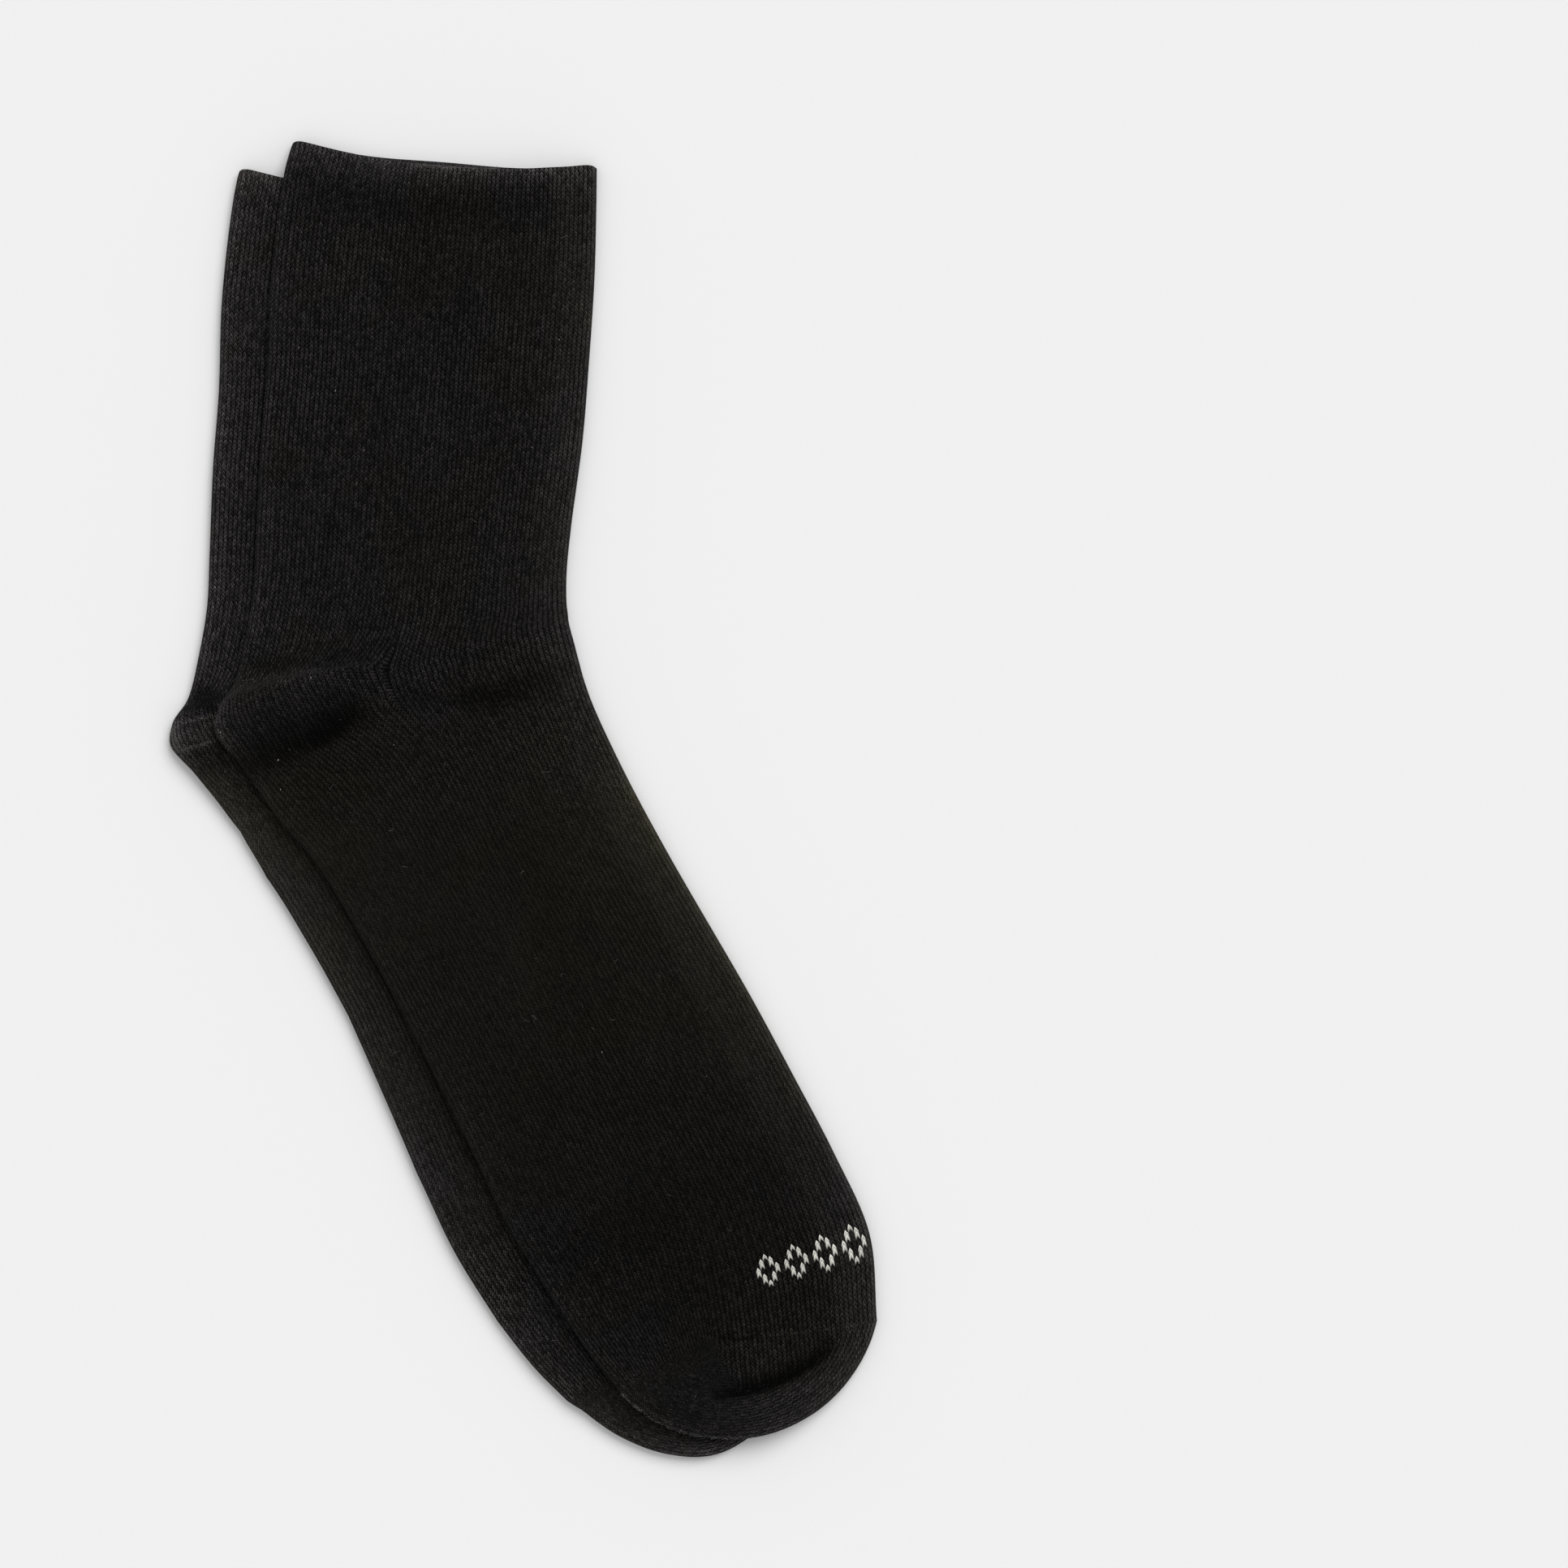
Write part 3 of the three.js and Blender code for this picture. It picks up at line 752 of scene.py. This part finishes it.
def tube_stitches(laid, skin, section, look):
    """Wale and course at each point of the tube, the course above and below the heel's gore.

    The heel is knitted in short rows, so its courses are counted along each wale, down to the
    gore from the leg and up to it from the foot, and its wales lean to the gore from both sides.
    """
    points = skin.points[..., :2]
    columns = points.shape[1]
    half = len(section.share)
    steps = np.linalg.norm(np.diff(points, axis=0), axis=2)
    length = np.concatenate([np.zeros((1, columns)), np.cumsum(steps, axis=0)])
    length = length / look.course_height
    toe_share = smooth_step(laid.places, row_of("ball"), row_of("toe box"))[1:]
    instep = columns - 1 - int(np.searchsorted(section.wale, look.wales * 0.09))
    count = np.diff(length[:, 0]) * (1 - toe_share) + np.diff(length[:, instep]) * toe_share
    count = np.concatenate([[0], np.cumsum(count)])
    start, gore, end = (
        int(np.searchsorted(laid.places, row_of(name)))
        for name in ("heel start", "gore", "heel end")
    )
    above = np.broadcast_to(count[:, None], length.shape).copy()
    below = above.copy()
    heel = np.arange(columns) < half
    above[start : gore + 1, heel] = count[start] + (length[start : gore + 1] - length[start])[:, heel]
    below[gore : end + 1, heel] = count[end] - (length[end] - length[gore : end + 1])[:, heel]

    wale = np.concatenate([section.wale, look.wales - section.wale[-2::-1]])
    from_gore = (length - length[gore]) * look.course_height
    reach = np.where(from_gore < 0, CHEVRON_ABOVE, CHEVRON_BELOW)
    lean = HEEL_CHEVRON * np.clip(1 - np.abs(from_gore) / reach, 0, 1) ** 1.3
    share = np.clip(section.wale / (look.wales / 4), 0, 2)
    profile = np.concatenate([np.sin(np.pi * np.clip(share, 0, 2)), np.zeros(half - 1)])
    profile = np.sign(profile) * np.abs(profile) ** 0.6
    return wale[None] - lean * profile, above, below, gore


def toe_stitches(laid, skin, section, wales, seam_course, course_height):
    """Wale and course at each point of the toe pocket: along its outline, and on its puff."""
    fans, columns = skin.light.shape
    along = 2.8 * 26 * MM / course_height * np.arange(fans) / (fans - 1)
    along = np.broadcast_to(seam_course + along[:, None], skin.light.shape)
    round_wale = np.broadcast_to(section.wale, skin.light.shape)
    way = skin.points[..., :2] - laid.middle[-1]
    seam_way = laid.front[-1] - laid.middle[-1]
    half = np.linalg.norm(seam_way)
    seam_way = seam_way / half
    out = (half - laid.fold) * (1 - section.share) + section.out * laid.fold
    upper = TOP_COLUMNS + FOLD_COLUMNS // 2
    puff_wale = wales - np.interp(way @ seam_way, out[:upper], section.wale[:upper])
    puff_course = seam_course + np.abs(way @ (-seam_way[1], seam_way[0])) / course_height
    bearing = np.degrees(np.arctan2(way[..., 1], way[..., 0])) % 360
    bearing = np.where(bearing < 90, bearing + 360, bearing)
    crease = np.interp(bearing, *zip(*TOE_CREASE)) * MM
    is_puff = (bearing > PUFF_STARTS) & (np.linalg.norm(way, axis=-1) < crease)
    is_puff &= section.up > 0.5
    return round_wale, along, puff_wale, puff_course, is_puff


# Modelling with Blender's tools


def deselect_all():
    if bpy.context.object and bpy.context.object.mode != "OBJECT":
        bpy.ops.object.mode_set(mode="OBJECT")
    bpy.ops.object.select_all(action="DESELECT")


def make_active(piece):
    deselect_all()
    piece.select_set(True)
    bpy.context.view_layer.objects.active = piece


def wrap_grid(name, skin, stitches):
    """A grid wrapped onto a skin, with its UV map in hundredths of wales and courses.

    stitches gives the wale and course at face corners from their rows and columns.
    """
    rows, columns = skin.light.shape
    deselect_all()
    bpy.ops.mesh.primitive_grid_add(x_subdivisions=columns - 1, y_subdivisions=rows - 1, size=2)
    piece = bpy.context.object
    piece.name = piece.data.name = name
    mesh = piece.data
    flat = np.empty(len(mesh.vertices) * 3)
    mesh.vertices.foreach_get("co", flat)
    flat = flat.reshape(-1, 3)
    if len(flat) != rows * columns:
        raise RuntimeError(f"{name}: the grid has {len(flat)} points, not {rows * columns}")
    column = np.rint((flat[:, 0] + 1) / 2 * (columns - 1)).astype(int)
    row = np.rint((flat[:, 1] + 1) / 2 * (rows - 1)).astype(int)
    mesh.vertices.foreach_set("co", skin.points[row, column].ravel())
    for key in Skin._fields[1:]:
        layer = mesh.attributes.new(key, "FLOAT", "POINT")
        layer.data.foreach_set("value", getattr(skin, key)[row, column].astype(np.float32))
    corners = np.empty(len(mesh.loops), dtype=int)
    mesh.loops.foreach_get("vertex_index", corners)
    wale, course = stitches(row[corners].reshape(-1, 4), column[corners].reshape(-1, 4))
    mesh.uv_layers[0].name = "stitches"
    uv = np.stack([wale.ravel(), course.ravel()], axis=1) / 100
    mesh.uv_layers[0].data.foreach_set("uv", uv.ravel())
    mesh.update()
    return piece


def close_seams(piece):
    make_active(piece)
    bpy.ops.object.mode_set(mode="EDIT")
    bpy.ops.mesh.select_all(action="SELECT")
    bpy.ops.mesh.remove_doubles(threshold=0.00001)
    bpy.ops.object.mode_set(mode="OBJECT")


def join_pieces(pieces):
    make_active(pieces[0])
    for piece in pieces:
        piece.select_set(True)
    bpy.ops.object.join()
    return bpy.context.object


def thicken(piece, wall):
    """Gives a skin its wall, inwards."""
    make_active(piece)
    solidify = piece.modifiers.new("Wall", "SOLIDIFY")
    solidify.thickness = wall
    solidify.offset = -1
    solidify.use_rim = True
    bpy.ops.object.modifier_apply(modifier=solidify.name)
    bpy.ops.object.shade_smooth()


def finish_piece(piece, material):
    piece.data.materials.clear()
    piece.data.materials.append(material)
    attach(piece, "root")


# Materials


class Nodes:
    """Short ways to add and link the shader nodes of one material."""

    def __init__(self, name):
        self.material = bpy.data.materials.new(name)
        self.material.use_nodes = True
        self.tree = self.material.node_tree
        self.shader = self.tree.nodes["Principled BSDF"]

    def add(self, kind, **values):
        node = self.tree.nodes.new(kind)
        for key, value in values.items():
            setattr(node, key, value)
        return node

    def link(self, output, socket):
        self.tree.links.new(output, socket)

    def feed(self, node, index, value):
        if isinstance(value, bpy.types.NodeSocket):
            self.link(value, node.inputs[index])
        else:
            node.inputs[index].default_value = value

    def math(self, operation, *values):
        node = self.add("ShaderNodeMath", operation=operation)
        for index, value in enumerate(values):
            self.feed(node, index, value)
        return node.outputs[0]

    def mix(self, factor, first, second, blend="MIX"):
        node = self.add("ShaderNodeMix", data_type="RGBA", blend_type=blend)
        self.feed(node, 0, factor)
        self.feed(node, 6, first)
        self.feed(node, 7, second)
        return node.outputs[2]

    def noise(self, vector, scale, detail=2.0, roughness=0.5):
        node = self.add("ShaderNodeTexNoise", noise_dimensions="3D")
        self.link(vector, node.inputs["Vector"])
        node.inputs["Scale"].default_value = scale
        node.inputs["Detail"].default_value = detail
        node.inputs["Roughness"].default_value = roughness
        return node.outputs["Fac"]

    def attribute(self, name):
        node = self.add("ShaderNodeAttribute", attribute_type="GEOMETRY", attribute_name=name)
        return node.outputs["Fac"]

    def shaded(self, colour, tone):
        """A colour made lighter or darker by a tone."""
        shade = self.add("ShaderNodeCombineXYZ")
        for axis in range(3):
            self.link(tone, shade.inputs[axis])
        return self.mix(1.0, colour, shade.outputs[0], "MULTIPLY")

    def remap(self, value, low, high, to_low=0.0, to_high=1.0):
        node = self.add("ShaderNodeMapRange", clamp=True)
        for index, number in enumerate((value, low, high, to_low, to_high)):
            self.feed(node, index, number)
        return node.outputs[0]


def rgba(colour):
    return (*colour, 1.0)


MARK_WALES = (110, 134)  # from beside the front fold to the instep
MARK_ROW = 19.82  # place in the course table where the mark starts
MARK_COURSES = 8
MARK_REPEAT = 6  # wales to a diamond and the gap after it


def mark_mask(nodes, wale, leg, first_course):
    """Where a stitch is knitted in the mark's yarn: a row of open diamonds."""
    first_wale, last_wale = MARK_WALES
    stitch = nodes.math("FLOOR", wale)
    course = nodes.math("SUBTRACT", nodes.math("FLOOR", leg), float(round(first_course)))
    in_repeat = nodes.math("MODULO", nodes.math("SUBTRACT", stitch, float(first_wale)), MARK_REPEAT)
    half_wide, half_high = (MARK_REPEAT - 2) // 2, (MARK_COURSES - 1) / 2
    across = nodes.math("ABSOLUTE", nodes.math("SUBTRACT", in_repeat, half_wide))
    down = nodes.math("ABSOLUTE", nodes.math("SUBTRACT", course, half_high))
    reach = nodes.math("MULTIPLY_ADD", across, half_high / half_wide, down)
    shape = nodes.math("COMPARE", reach, half_high, 0.9)
    for value, low, high in ((stitch, first_wale, last_wale - 1), (course, 0, MARK_COURSES - 1)):
        middle, half = (low + high) / 2, (high - low) / 2 + 0.25
        shape = nodes.math("MULTIPLY", shape, nodes.math("COMPARE", value, middle, half))
    return shape


def knit_material(look, mark_course):
    """Black plain knit: V stitches in wales and courses, uneven yarn, and the knitted-in mark."""
    nodes = Nodes("black_cotton_knit")
    stitches = nodes.add("ShaderNodeUVMap", uv_map="stitches").outputs[0]
    parts = nodes.add("ShaderNodeSeparateXYZ")
    nodes.link(stitches, parts.inputs[0])
    wale = nodes.math("MULTIPLY", parts.outputs[0], 100.0)
    course = nodes.math("MULTIPLY", parts.outputs[1], 100.0)

    # A V stitch: two legs that run from the wale's middle line out to the grooves beside it; the
    # colour is painted darker in the grooves and lighter on the crests, painted shade and highlight
    # on top of the bump
    from_middle = nodes.math("ABSOLUTE", nodes.math("SUBTRACT", nodes.math("FRACT", wale), 0.5))
    leg = nodes.math("MULTIPLY_ADD", from_middle, -2.0, course)
    leg_wave = nodes.math("SINE", nodes.math("MULTIPLY", leg, 2 * math.pi))
    crest = nodes.math("SINE", nodes.math("MULTIPLY", from_middle, 2 * math.pi))
    groove = nodes.math("POWER", nodes.math("MULTIPLY", from_middle, 2.0), 2.0)
    line = nodes.math("MULTIPLY_ADD", crest, 0.3, nodes.math("MULTIPLY_ADD", groove, -0.86, 0.1))
    clear_line = nodes.math("MULTIPLY", line, nodes.attribute("clarity"))

    # Uneven yarn: each leg, long streaks down the wales, patches, and fibres across stitches
    cell = nodes.add("ShaderNodeCombineXYZ")
    nodes.link(nodes.math("FLOOR", nodes.math("MULTIPLY", wale, 2.0)), cell.inputs[0])
    nodes.link(nodes.math("FLOOR", leg), cell.inputs[1])
    each = nodes.add("ShaderNodeTexWhiteNoise", noise_dimensions="2D")
    nodes.link(cell.outputs[0], each.inputs["Vector"])
    streak_place = nodes.add("ShaderNodeCombineXYZ")
    nodes.link(wale, streak_place.inputs[0])
    nodes.link(nodes.math("MULTIPLY", course, 0.07), streak_place.inputs[1])
    streaks = nodes.noise(streak_place.outputs[0], 0.7, 2.0, 0.6)
    place = nodes.add("ShaderNodeTexCoord").outputs["Object"]
    patches = nodes.noise(place, 420.0, 3.0, 0.7)
    fibres = nodes.noise(place, 1700.0, 3.0, 0.75)
    odd_wale = nodes.math("MODULO", nodes.math("FLOOR", wale), 2.0)
    # The stitch lines and the legs' wave paint shade into the grooves between the wales and between
    # the legs
    tones = (
        nodes.math("ADD", clear_line, 1.0),
        nodes.math("MULTIPLY_ADD", leg_wave, 0.5, 1.0),
        nodes.math("MULTIPLY_ADD", odd_wale, 0.06, 0.97),
        nodes.remap(each.outputs["Value"], 0.0, 1.0, 0.65, 1.35),
        nodes.remap(streaks, 0.25, 0.75, 0.94, 1.06),
        nodes.remap(patches, 0.25, 0.75, 0.88, 1.12),
        nodes.remap(fibres, 0.3, 0.8, 0.55, 2.2),
    )
    texture = tones[0]
    for factor in tones[1:]:
        texture = nodes.math("MULTIPLY", texture, factor)
    texture = nodes.math("POWER", texture, nodes.attribute("coarseness"))
    # The painted light and shade of the light attribute, times the stitch texture, makes the base
    # colour lighter or darker
    tone = nodes.math("MULTIPLY", nodes.attribute("light"), texture)

    # Painted warm light: the colour turns browner down the foot and towards the front fold, in uneven
    # patches
    blotch = nodes.remap(nodes.noise(place, 45.0, 2.0, 0.5), 0.3, 0.7, -0.3, 0.3)
    warmth = nodes.math("ADD", nodes.attribute("warmth"), blotch)
    warmth = nodes.remap(warmth, 0.0, 1.0)
    colour = nodes.mix(warmth, rgba(look.yarn), rgba(look.warm_yarn))
    colour = nodes.shaded(colour, tone)
    # The mark's yarn gets the same painted shade in the stitch grooves and between the legs
    mark_tone = nodes.math("MULTIPLY", tones[0], nodes.math("MULTIPLY_ADD", leg_wave, 0.3, 0.85))
    mark_tone = nodes.math("MULTIPLY", mark_tone, nodes.remap(patches, 0.25, 0.75, 0.8, 1.15))
    mark = nodes.shaded(rgba(look.mark), mark_tone)
    colour = nodes.mix(mark_mask(nodes, wale, leg, mark_course), colour, mark)
    nodes.link(colour, nodes.shader.inputs["Base Color"])

    height = nodes.math("MULTIPLY_ADD", leg_wave, 0.2, clear_line)
    surface = nodes.math("MULTIPLY_ADD", fibres, 0.6, height)
    bump = nodes.add("ShaderNodeBump")
    bump.inputs["Distance"].default_value = look.bump
    bump.inputs["Strength"].default_value = 0.9
    nodes.link(surface, bump.inputs["Height"])
    nodes.link(bump.outputs[0], nodes.shader.inputs["Normal"])
    nodes.shader.inputs["Roughness"].default_value = look.roughness
    nodes.shader.inputs["Specular IOR Level"].default_value = look.gloss
    nodes.shader.inputs["Sheen Weight"].default_value = look.sheen
    nodes.shader.inputs["Sheen Roughness"].default_value = 0.5
    return nodes.material


def fluff_material(name, colour):
    """Loose cotton: matt, and uneven along its length."""
    nodes = Nodes(name)
    place = nodes.add("ShaderNodeTexCoord").outputs["Object"]
    tone = nodes.remap(nodes.noise(place, 900.0), 0.3, 0.7, 0.4, 1.3)
    nodes.link(nodes.shaded(rgba(colour), tone), nodes.shader.inputs["Base Color"])
    nodes.shader.inputs["Roughness"].default_value = 0.95
    nodes.shader.inputs["Specular IOR Level"].default_value = 0.05
    return nodes.material


def floor_material(paleness):
    nodes = Nodes("pale_floor")
    nodes.shader.inputs["Base Color"].default_value = (paleness, paleness, paleness, 1)
    nodes.shader.inputs["Roughness"].default_value = 1.0
    nodes.shader.inputs["Specular IOR Level"].default_value = 0.0
    return nodes.material


# Pieces


def knit_sock(laid, section, sizes, look):
    """One sock: the tube and the toe pocket as one wall of cloth."""
    tube = tube_skin(laid, section, sizes)
    toe = toe_skin(laid, section, Skin(*(values[-1] for values in tube)))
    wale, above, below, gore = tube_stitches(laid, tube, section, look)
    seam_course = above[-1, 0]
    round_wale, along, puff_wale, puff_course, is_puff = toe_stitches(
        laid, toe, section, look.wales, seam_course, look.course_height
    )

    def on_tube(row, column):
        over_gore = (row.min(axis=1) < gore)[:, None]
        return wale[row, column], np.where(over_gore, above[row, column], below[row, column])

    def on_toe(row, column):
        puff = is_puff[row, column].all(axis=1)[:, None]
        corner_wale = np.where(puff, puff_wale[row, column], round_wale[row, column])
        return corner_wale, np.where(puff, puff_course[row, column], along[row, column])

    place = np.array([*laid.offset, 0])
    tube = tube._replace(points=tube.points + place)
    toe = toe._replace(points=toe.points + place)
    pieces = [
        wrap_grid(laid.sock.node + "_cloth", tube, on_tube),
        wrap_grid(laid.sock.node + "_toe", toe, on_toe),
    ]
    piece = join_pieces(pieces)
    close_seams(piece)
    thicken(piece, sizes.wall)
    return piece, np.interp(MARK_ROW, laid.places, above[:, 0])


class SOCKS_OT_knit_pair(bpy.types.Operator):
    """Knit the cloth of both socks over their solids"""

    bl_idname = "socks.knit_pair"
    bl_label = "Knit the Pair"

    def execute(self, context):
        sizes, look = settings().sizes, settings().look
        section = half_section(sizes, look.wales)
        for laid in laid_pair(sizes):
            piece, mark_course = knit_sock(laid, section, sizes, look)
            finish_piece(piece, knit_material(look, mark_course))
            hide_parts(laid.sock.node)
        return {"FINISHED"}


def model_fibre(thickness):
    """One curled fibre end, a millimetre long, that lifts off the cloth along +X."""
    deselect_all()
    bpy.ops.curve.primitive_bezier_curve_add()
    fibre = bpy.context.object
    curve = fibre.data
    curve.resolution_u = 5
    curve.bevel_depth = thickness / 2
    curve.bevel_resolution = 0
    curve.use_fill_caps = True
    bends = (
        ((-0.35, 0, -0.2), (0, 0, -0.04), (0.4, 0.12, 0.3)),
        ((0.75, -0.25, 0.34), (1, 0.2, 0.1), (1.2, 0.4, 0)),
    )
    for point, (before, at, after) in zip(curve.splines[0].bezier_points, bends):
        point.handle_left_type = point.handle_right_type = "FREE"
        point.handle_left, point.co, point.handle_right = (
            Vector(place) * MM for place in (before, at, after)
        )
    bpy.ops.object.convert(target="MESH")
    return bpy.context.object


def model_speck(width, random):
    """One crumpled, flattened speck of lint."""
    deselect_all()
    bpy.ops.mesh.primitive_ico_sphere_add(subdivisions=2, radius=width / 2)
    speck = bpy.context.object
    for vertex in speck.data.vertices:
        vertex.co *= random.uniform(0.65, 1.15)
    bpy.ops.object.mode_set(mode="EDIT")
    bpy.ops.mesh.select_all(action="SELECT")
    bpy.ops.transform.resize(value=(1, 0.8, 0.45))
    bpy.ops.object.mode_set(mode="OBJECT")
    return speck


# What lies on the cloth: the sock it falls on, and its place and turn there
Fallen = namedtuple("Fallen", "sock place")


def drop(socks, x, y, turn, size):
    """Where a thing of a given turn and size lands when it falls at x, y on the upmost cloth."""
    above = Vector((x, y, CAD_BOX[1][2] + 0.05))
    for sock in socks:
        hit, spot, facing, _ = sock.ray_cast(above, Vector((0, 0, -1)))
        if hit:
            stand = facing.to_track_quat("Z", "Y").to_matrix().to_4x4()
            turned = Matrix.Rotation(turn, 4, "Z") @ Matrix.Diagonal((*size, 1))
            return Fallen(sock, Matrix.Translation(spot) @ stand @ turned)
    return None


def fibre_places(top, look, random):
    """Where fibre ends fall, and how long they are: all over, at the toe, the cuff and on lines."""
    for x, y in random.uniform(CAD_BOX[0][:2], CAD_BOX[1][:2], (look.fibres * 2, 2)):
        yield x, y, random.uniform(0.2, 1) ** 1.5
    low, high = (
        (bearing - top.toe[0][0]) / (top.toe[-1][0] - top.toe[0][0]) for bearing in NAPPED_TOE
    )
    for share in random.uniform(low, high, look.toe_fibres):
        direction, reach = top.toe_ray(share)
        edge = top.middle[-1] + direction * (reach - random.uniform(0.05, 0.6) * MM) + top.offset
        yield *edge, random.uniform(0.2, 0.6)
    rim_places = random.uniform(0.03, 0.97, (1, look.rim_fibres))
    for rim in top.plan(np.repeat(rim_places, len(top.places), axis=0))[0] + top.offset:
        yield rim[0], rim[1] - random.uniform(0, 1.5) * MM, random.uniform(0.2, 0.5)
    for line in NAP_LINES:
        points = bowed_line((line.start, line.via, line.end), line.fibres) + top.offset
        for x, y in points + random.normal(0, line.stray * MM / 2, points.shape):
            yield x, y, random.uniform(0.15, 0.45)


def lay_copies(model, fallen, name, material):
    """Lays copies of a model where they fell, joined into one piece for a sock."""
    copies = []
    for fall in fallen:
        copy = model.copy()
        copy.data = model.data.copy()
        copy.data.transform(fall.place)
        bpy.context.collection.objects.link(copy)
        copies.append(copy)
    piece = join_pieces(copies)
    piece.name = piece.data.name = name
    finish_piece(piece, material)
    return piece


class SOCKS_OT_tease_fluff(bpy.types.Operator):
    """Scatter stray fibre ends and specks of lint over the knitted pair"""

    bl_idname = "socks.tease_fluff"
    bl_label = "Tease the Fluff"

    def execute(self, context):
        sizes, look = settings().sizes, settings().fluff
        random = np.random.default_rng(17)
        top = laid_pair(sizes)[1]
        under_cloth, top_cloth = (
            bpy.data.objects[sock.node + "_cloth"] for sock in (UNDER_SOCK, TOP_SOCK)
        )
        context.view_layer.update()
        socks = (top_cloth, under_cloth)
        fibres, specks = [], []
        for x, y, length in fibre_places(top, look, random):
            size = (length * look.longest / MM, *random.uniform((0.3, 0.3), (1.4, 1.2)))
            fibres.append(drop(socks, x, y, random.uniform(0, 2 * math.pi), size))
        for spot in LINT:
            x, y = np.array(spot) * MM + top.offset
            size = random.uniform((0.7, 0.6, 0.8), (1.3, 1.1, 1.2))
            specks.append(drop(socks, x, y, random.uniform(0, 2 * math.pi), size))

        fibre, speck = model_fibre(look.thickness), model_speck(look.speck, random)
        fibre_cotton = fluff_material("loose_fibre", look.fibre)
        lint_cotton = fluff_material("lint", look.lint)
        for cloth, rests_on in ((under_cloth, ()), (top_cloth, (under_cloth,))):
            fluff = [
                lay_copies(
                    model,
                    [fall for fall in fallen if fall and fall.sock == cloth],
                    cloth.name.replace("cloth", kind),
                    material,
                )
                for model, fallen, kind, material in (
                    (fibre, fibres, "fibres", fibre_cotton),
                    (speck, specks, "lint", lint_cotton),
                )
            ]
            tuple(sizes.cut)
            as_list(rests_on)
        for model in (fibre, speck):
            bpy.data.objects.remove(model)
        return {"FINISHED"}


class SOCKS_OT_lay_stage(bpy.types.Operator):
    """Lay the floor and set the light and the camera"""

    bl_idname = "socks.lay_stage"
    bl_label = "Lay the Stage"

    def execute(self, context):
        stage = settings().stage
        deselect_all()
        bpy.ops.mesh.primitive_plane_add(size=20, location=(0, 0, CAD_BOX[0][2] - 0.05 * MM))
        floor = context.object
        floor.name = "floor"
        floor.data.materials.append(floor_material(stage.floor))

        world = bpy.data.worlds.new("even_light")
        context.scene.world = world
        world.use_nodes = True
        background = world.node_tree.nodes["Background"]
        background.inputs[0].default_value = (1, 1, 1, 1)
        background.inputs[1].default_value = stage.sky

        bpy.ops.object.light_add(type="SUN", location=(0.4, 0.8, 1.2))
        key = context.object
        key.name = "key_light"
        key.data.energy = stage.key
        key.data.angle = math.radians(40)
        key.rotation_euler = Vector((0.45, 0.75, 1.0)).to_track_quat("Z", "Y").to_euler()

        x, y = stage.photo_centre
        bpy.ops.object.camera_add(location=(x, y, stage.camera_height), rotation=(0, 0, 0))
        camera = context.object
        camera.name = "camera"
        camera.data.sensor_width = 36
        camera.data.lens = 36 * stage.camera_height / stage.photo_width
        camera.data.clip_start = 0.05
        context.scene.camera = camera
        context.scene.view_settings.view_transform = "Standard"
        return {"FINISHED"}


class SOCKS_PT_pair(bpy.types.Panel):
    """Sizes, colours and steps of the pair"""

    bl_label = "Pair of Socks"
    bl_idname = "SOCKS_PT_pair"
    bl_space_type = "VIEW_3D"
    bl_region_type = "UI"
    bl_category = "Socks"

    def draw(self, context):
        layout = self.layout
        groups = (("Cloth", "sizes"), ("Knit", "look"), ("Fluff", "fluff"), ("Stage", "stage"))
        for title, group in groups:
            box = layout.box()
            box.label(text=title)
            values = getattr(context.scene.socks, group)
            for key in type(values).__annotations__:
                box.prop(values, key)
        for operator in OPERATORS:
            layout.operator(operator.bl_idname)


class SockSettings(bpy.types.PropertyGroup):
    """All that a user may change."""

    sizes: PointerProperty(type=SockSizes, name="Cloth", description="Sizes of the cloth")
    look: PointerProperty(type=KnitLook, name="Knit", description="Gauge, colours and finish")
    fluff: PointerProperty(type=FluffLook, name="Fluff", description="Fibre ends and lint")
    stage: PointerProperty(type=StageLook, name="Stage", description="Floor, light and camera")


OPERATORS = (SOCKS_OT_knit_pair, SOCKS_OT_tease_fluff, SOCKS_OT_lay_stage)
CLASSES = (SockSizes, KnitLook, FluffLook, StageLook, SockSettings, *OPERATORS, SOCKS_PT_pair)


def register():
    for cls in CLASSES:
        bpy.utils.register_class(cls)
    bpy.types.Scene.socks = PointerProperty(type=SockSettings)


def unregister():
    del bpy.types.Scene.socks
    for cls in reversed(CLASSES):
        bpy.utils.unregister_class(cls)


def main():
    register()
    bpy.ops.socks.knit_pair()
    bpy.ops.socks.tease_fluff()
    bpy.ops.socks.lay_stage()


if __name__ == "__main__":
    main()
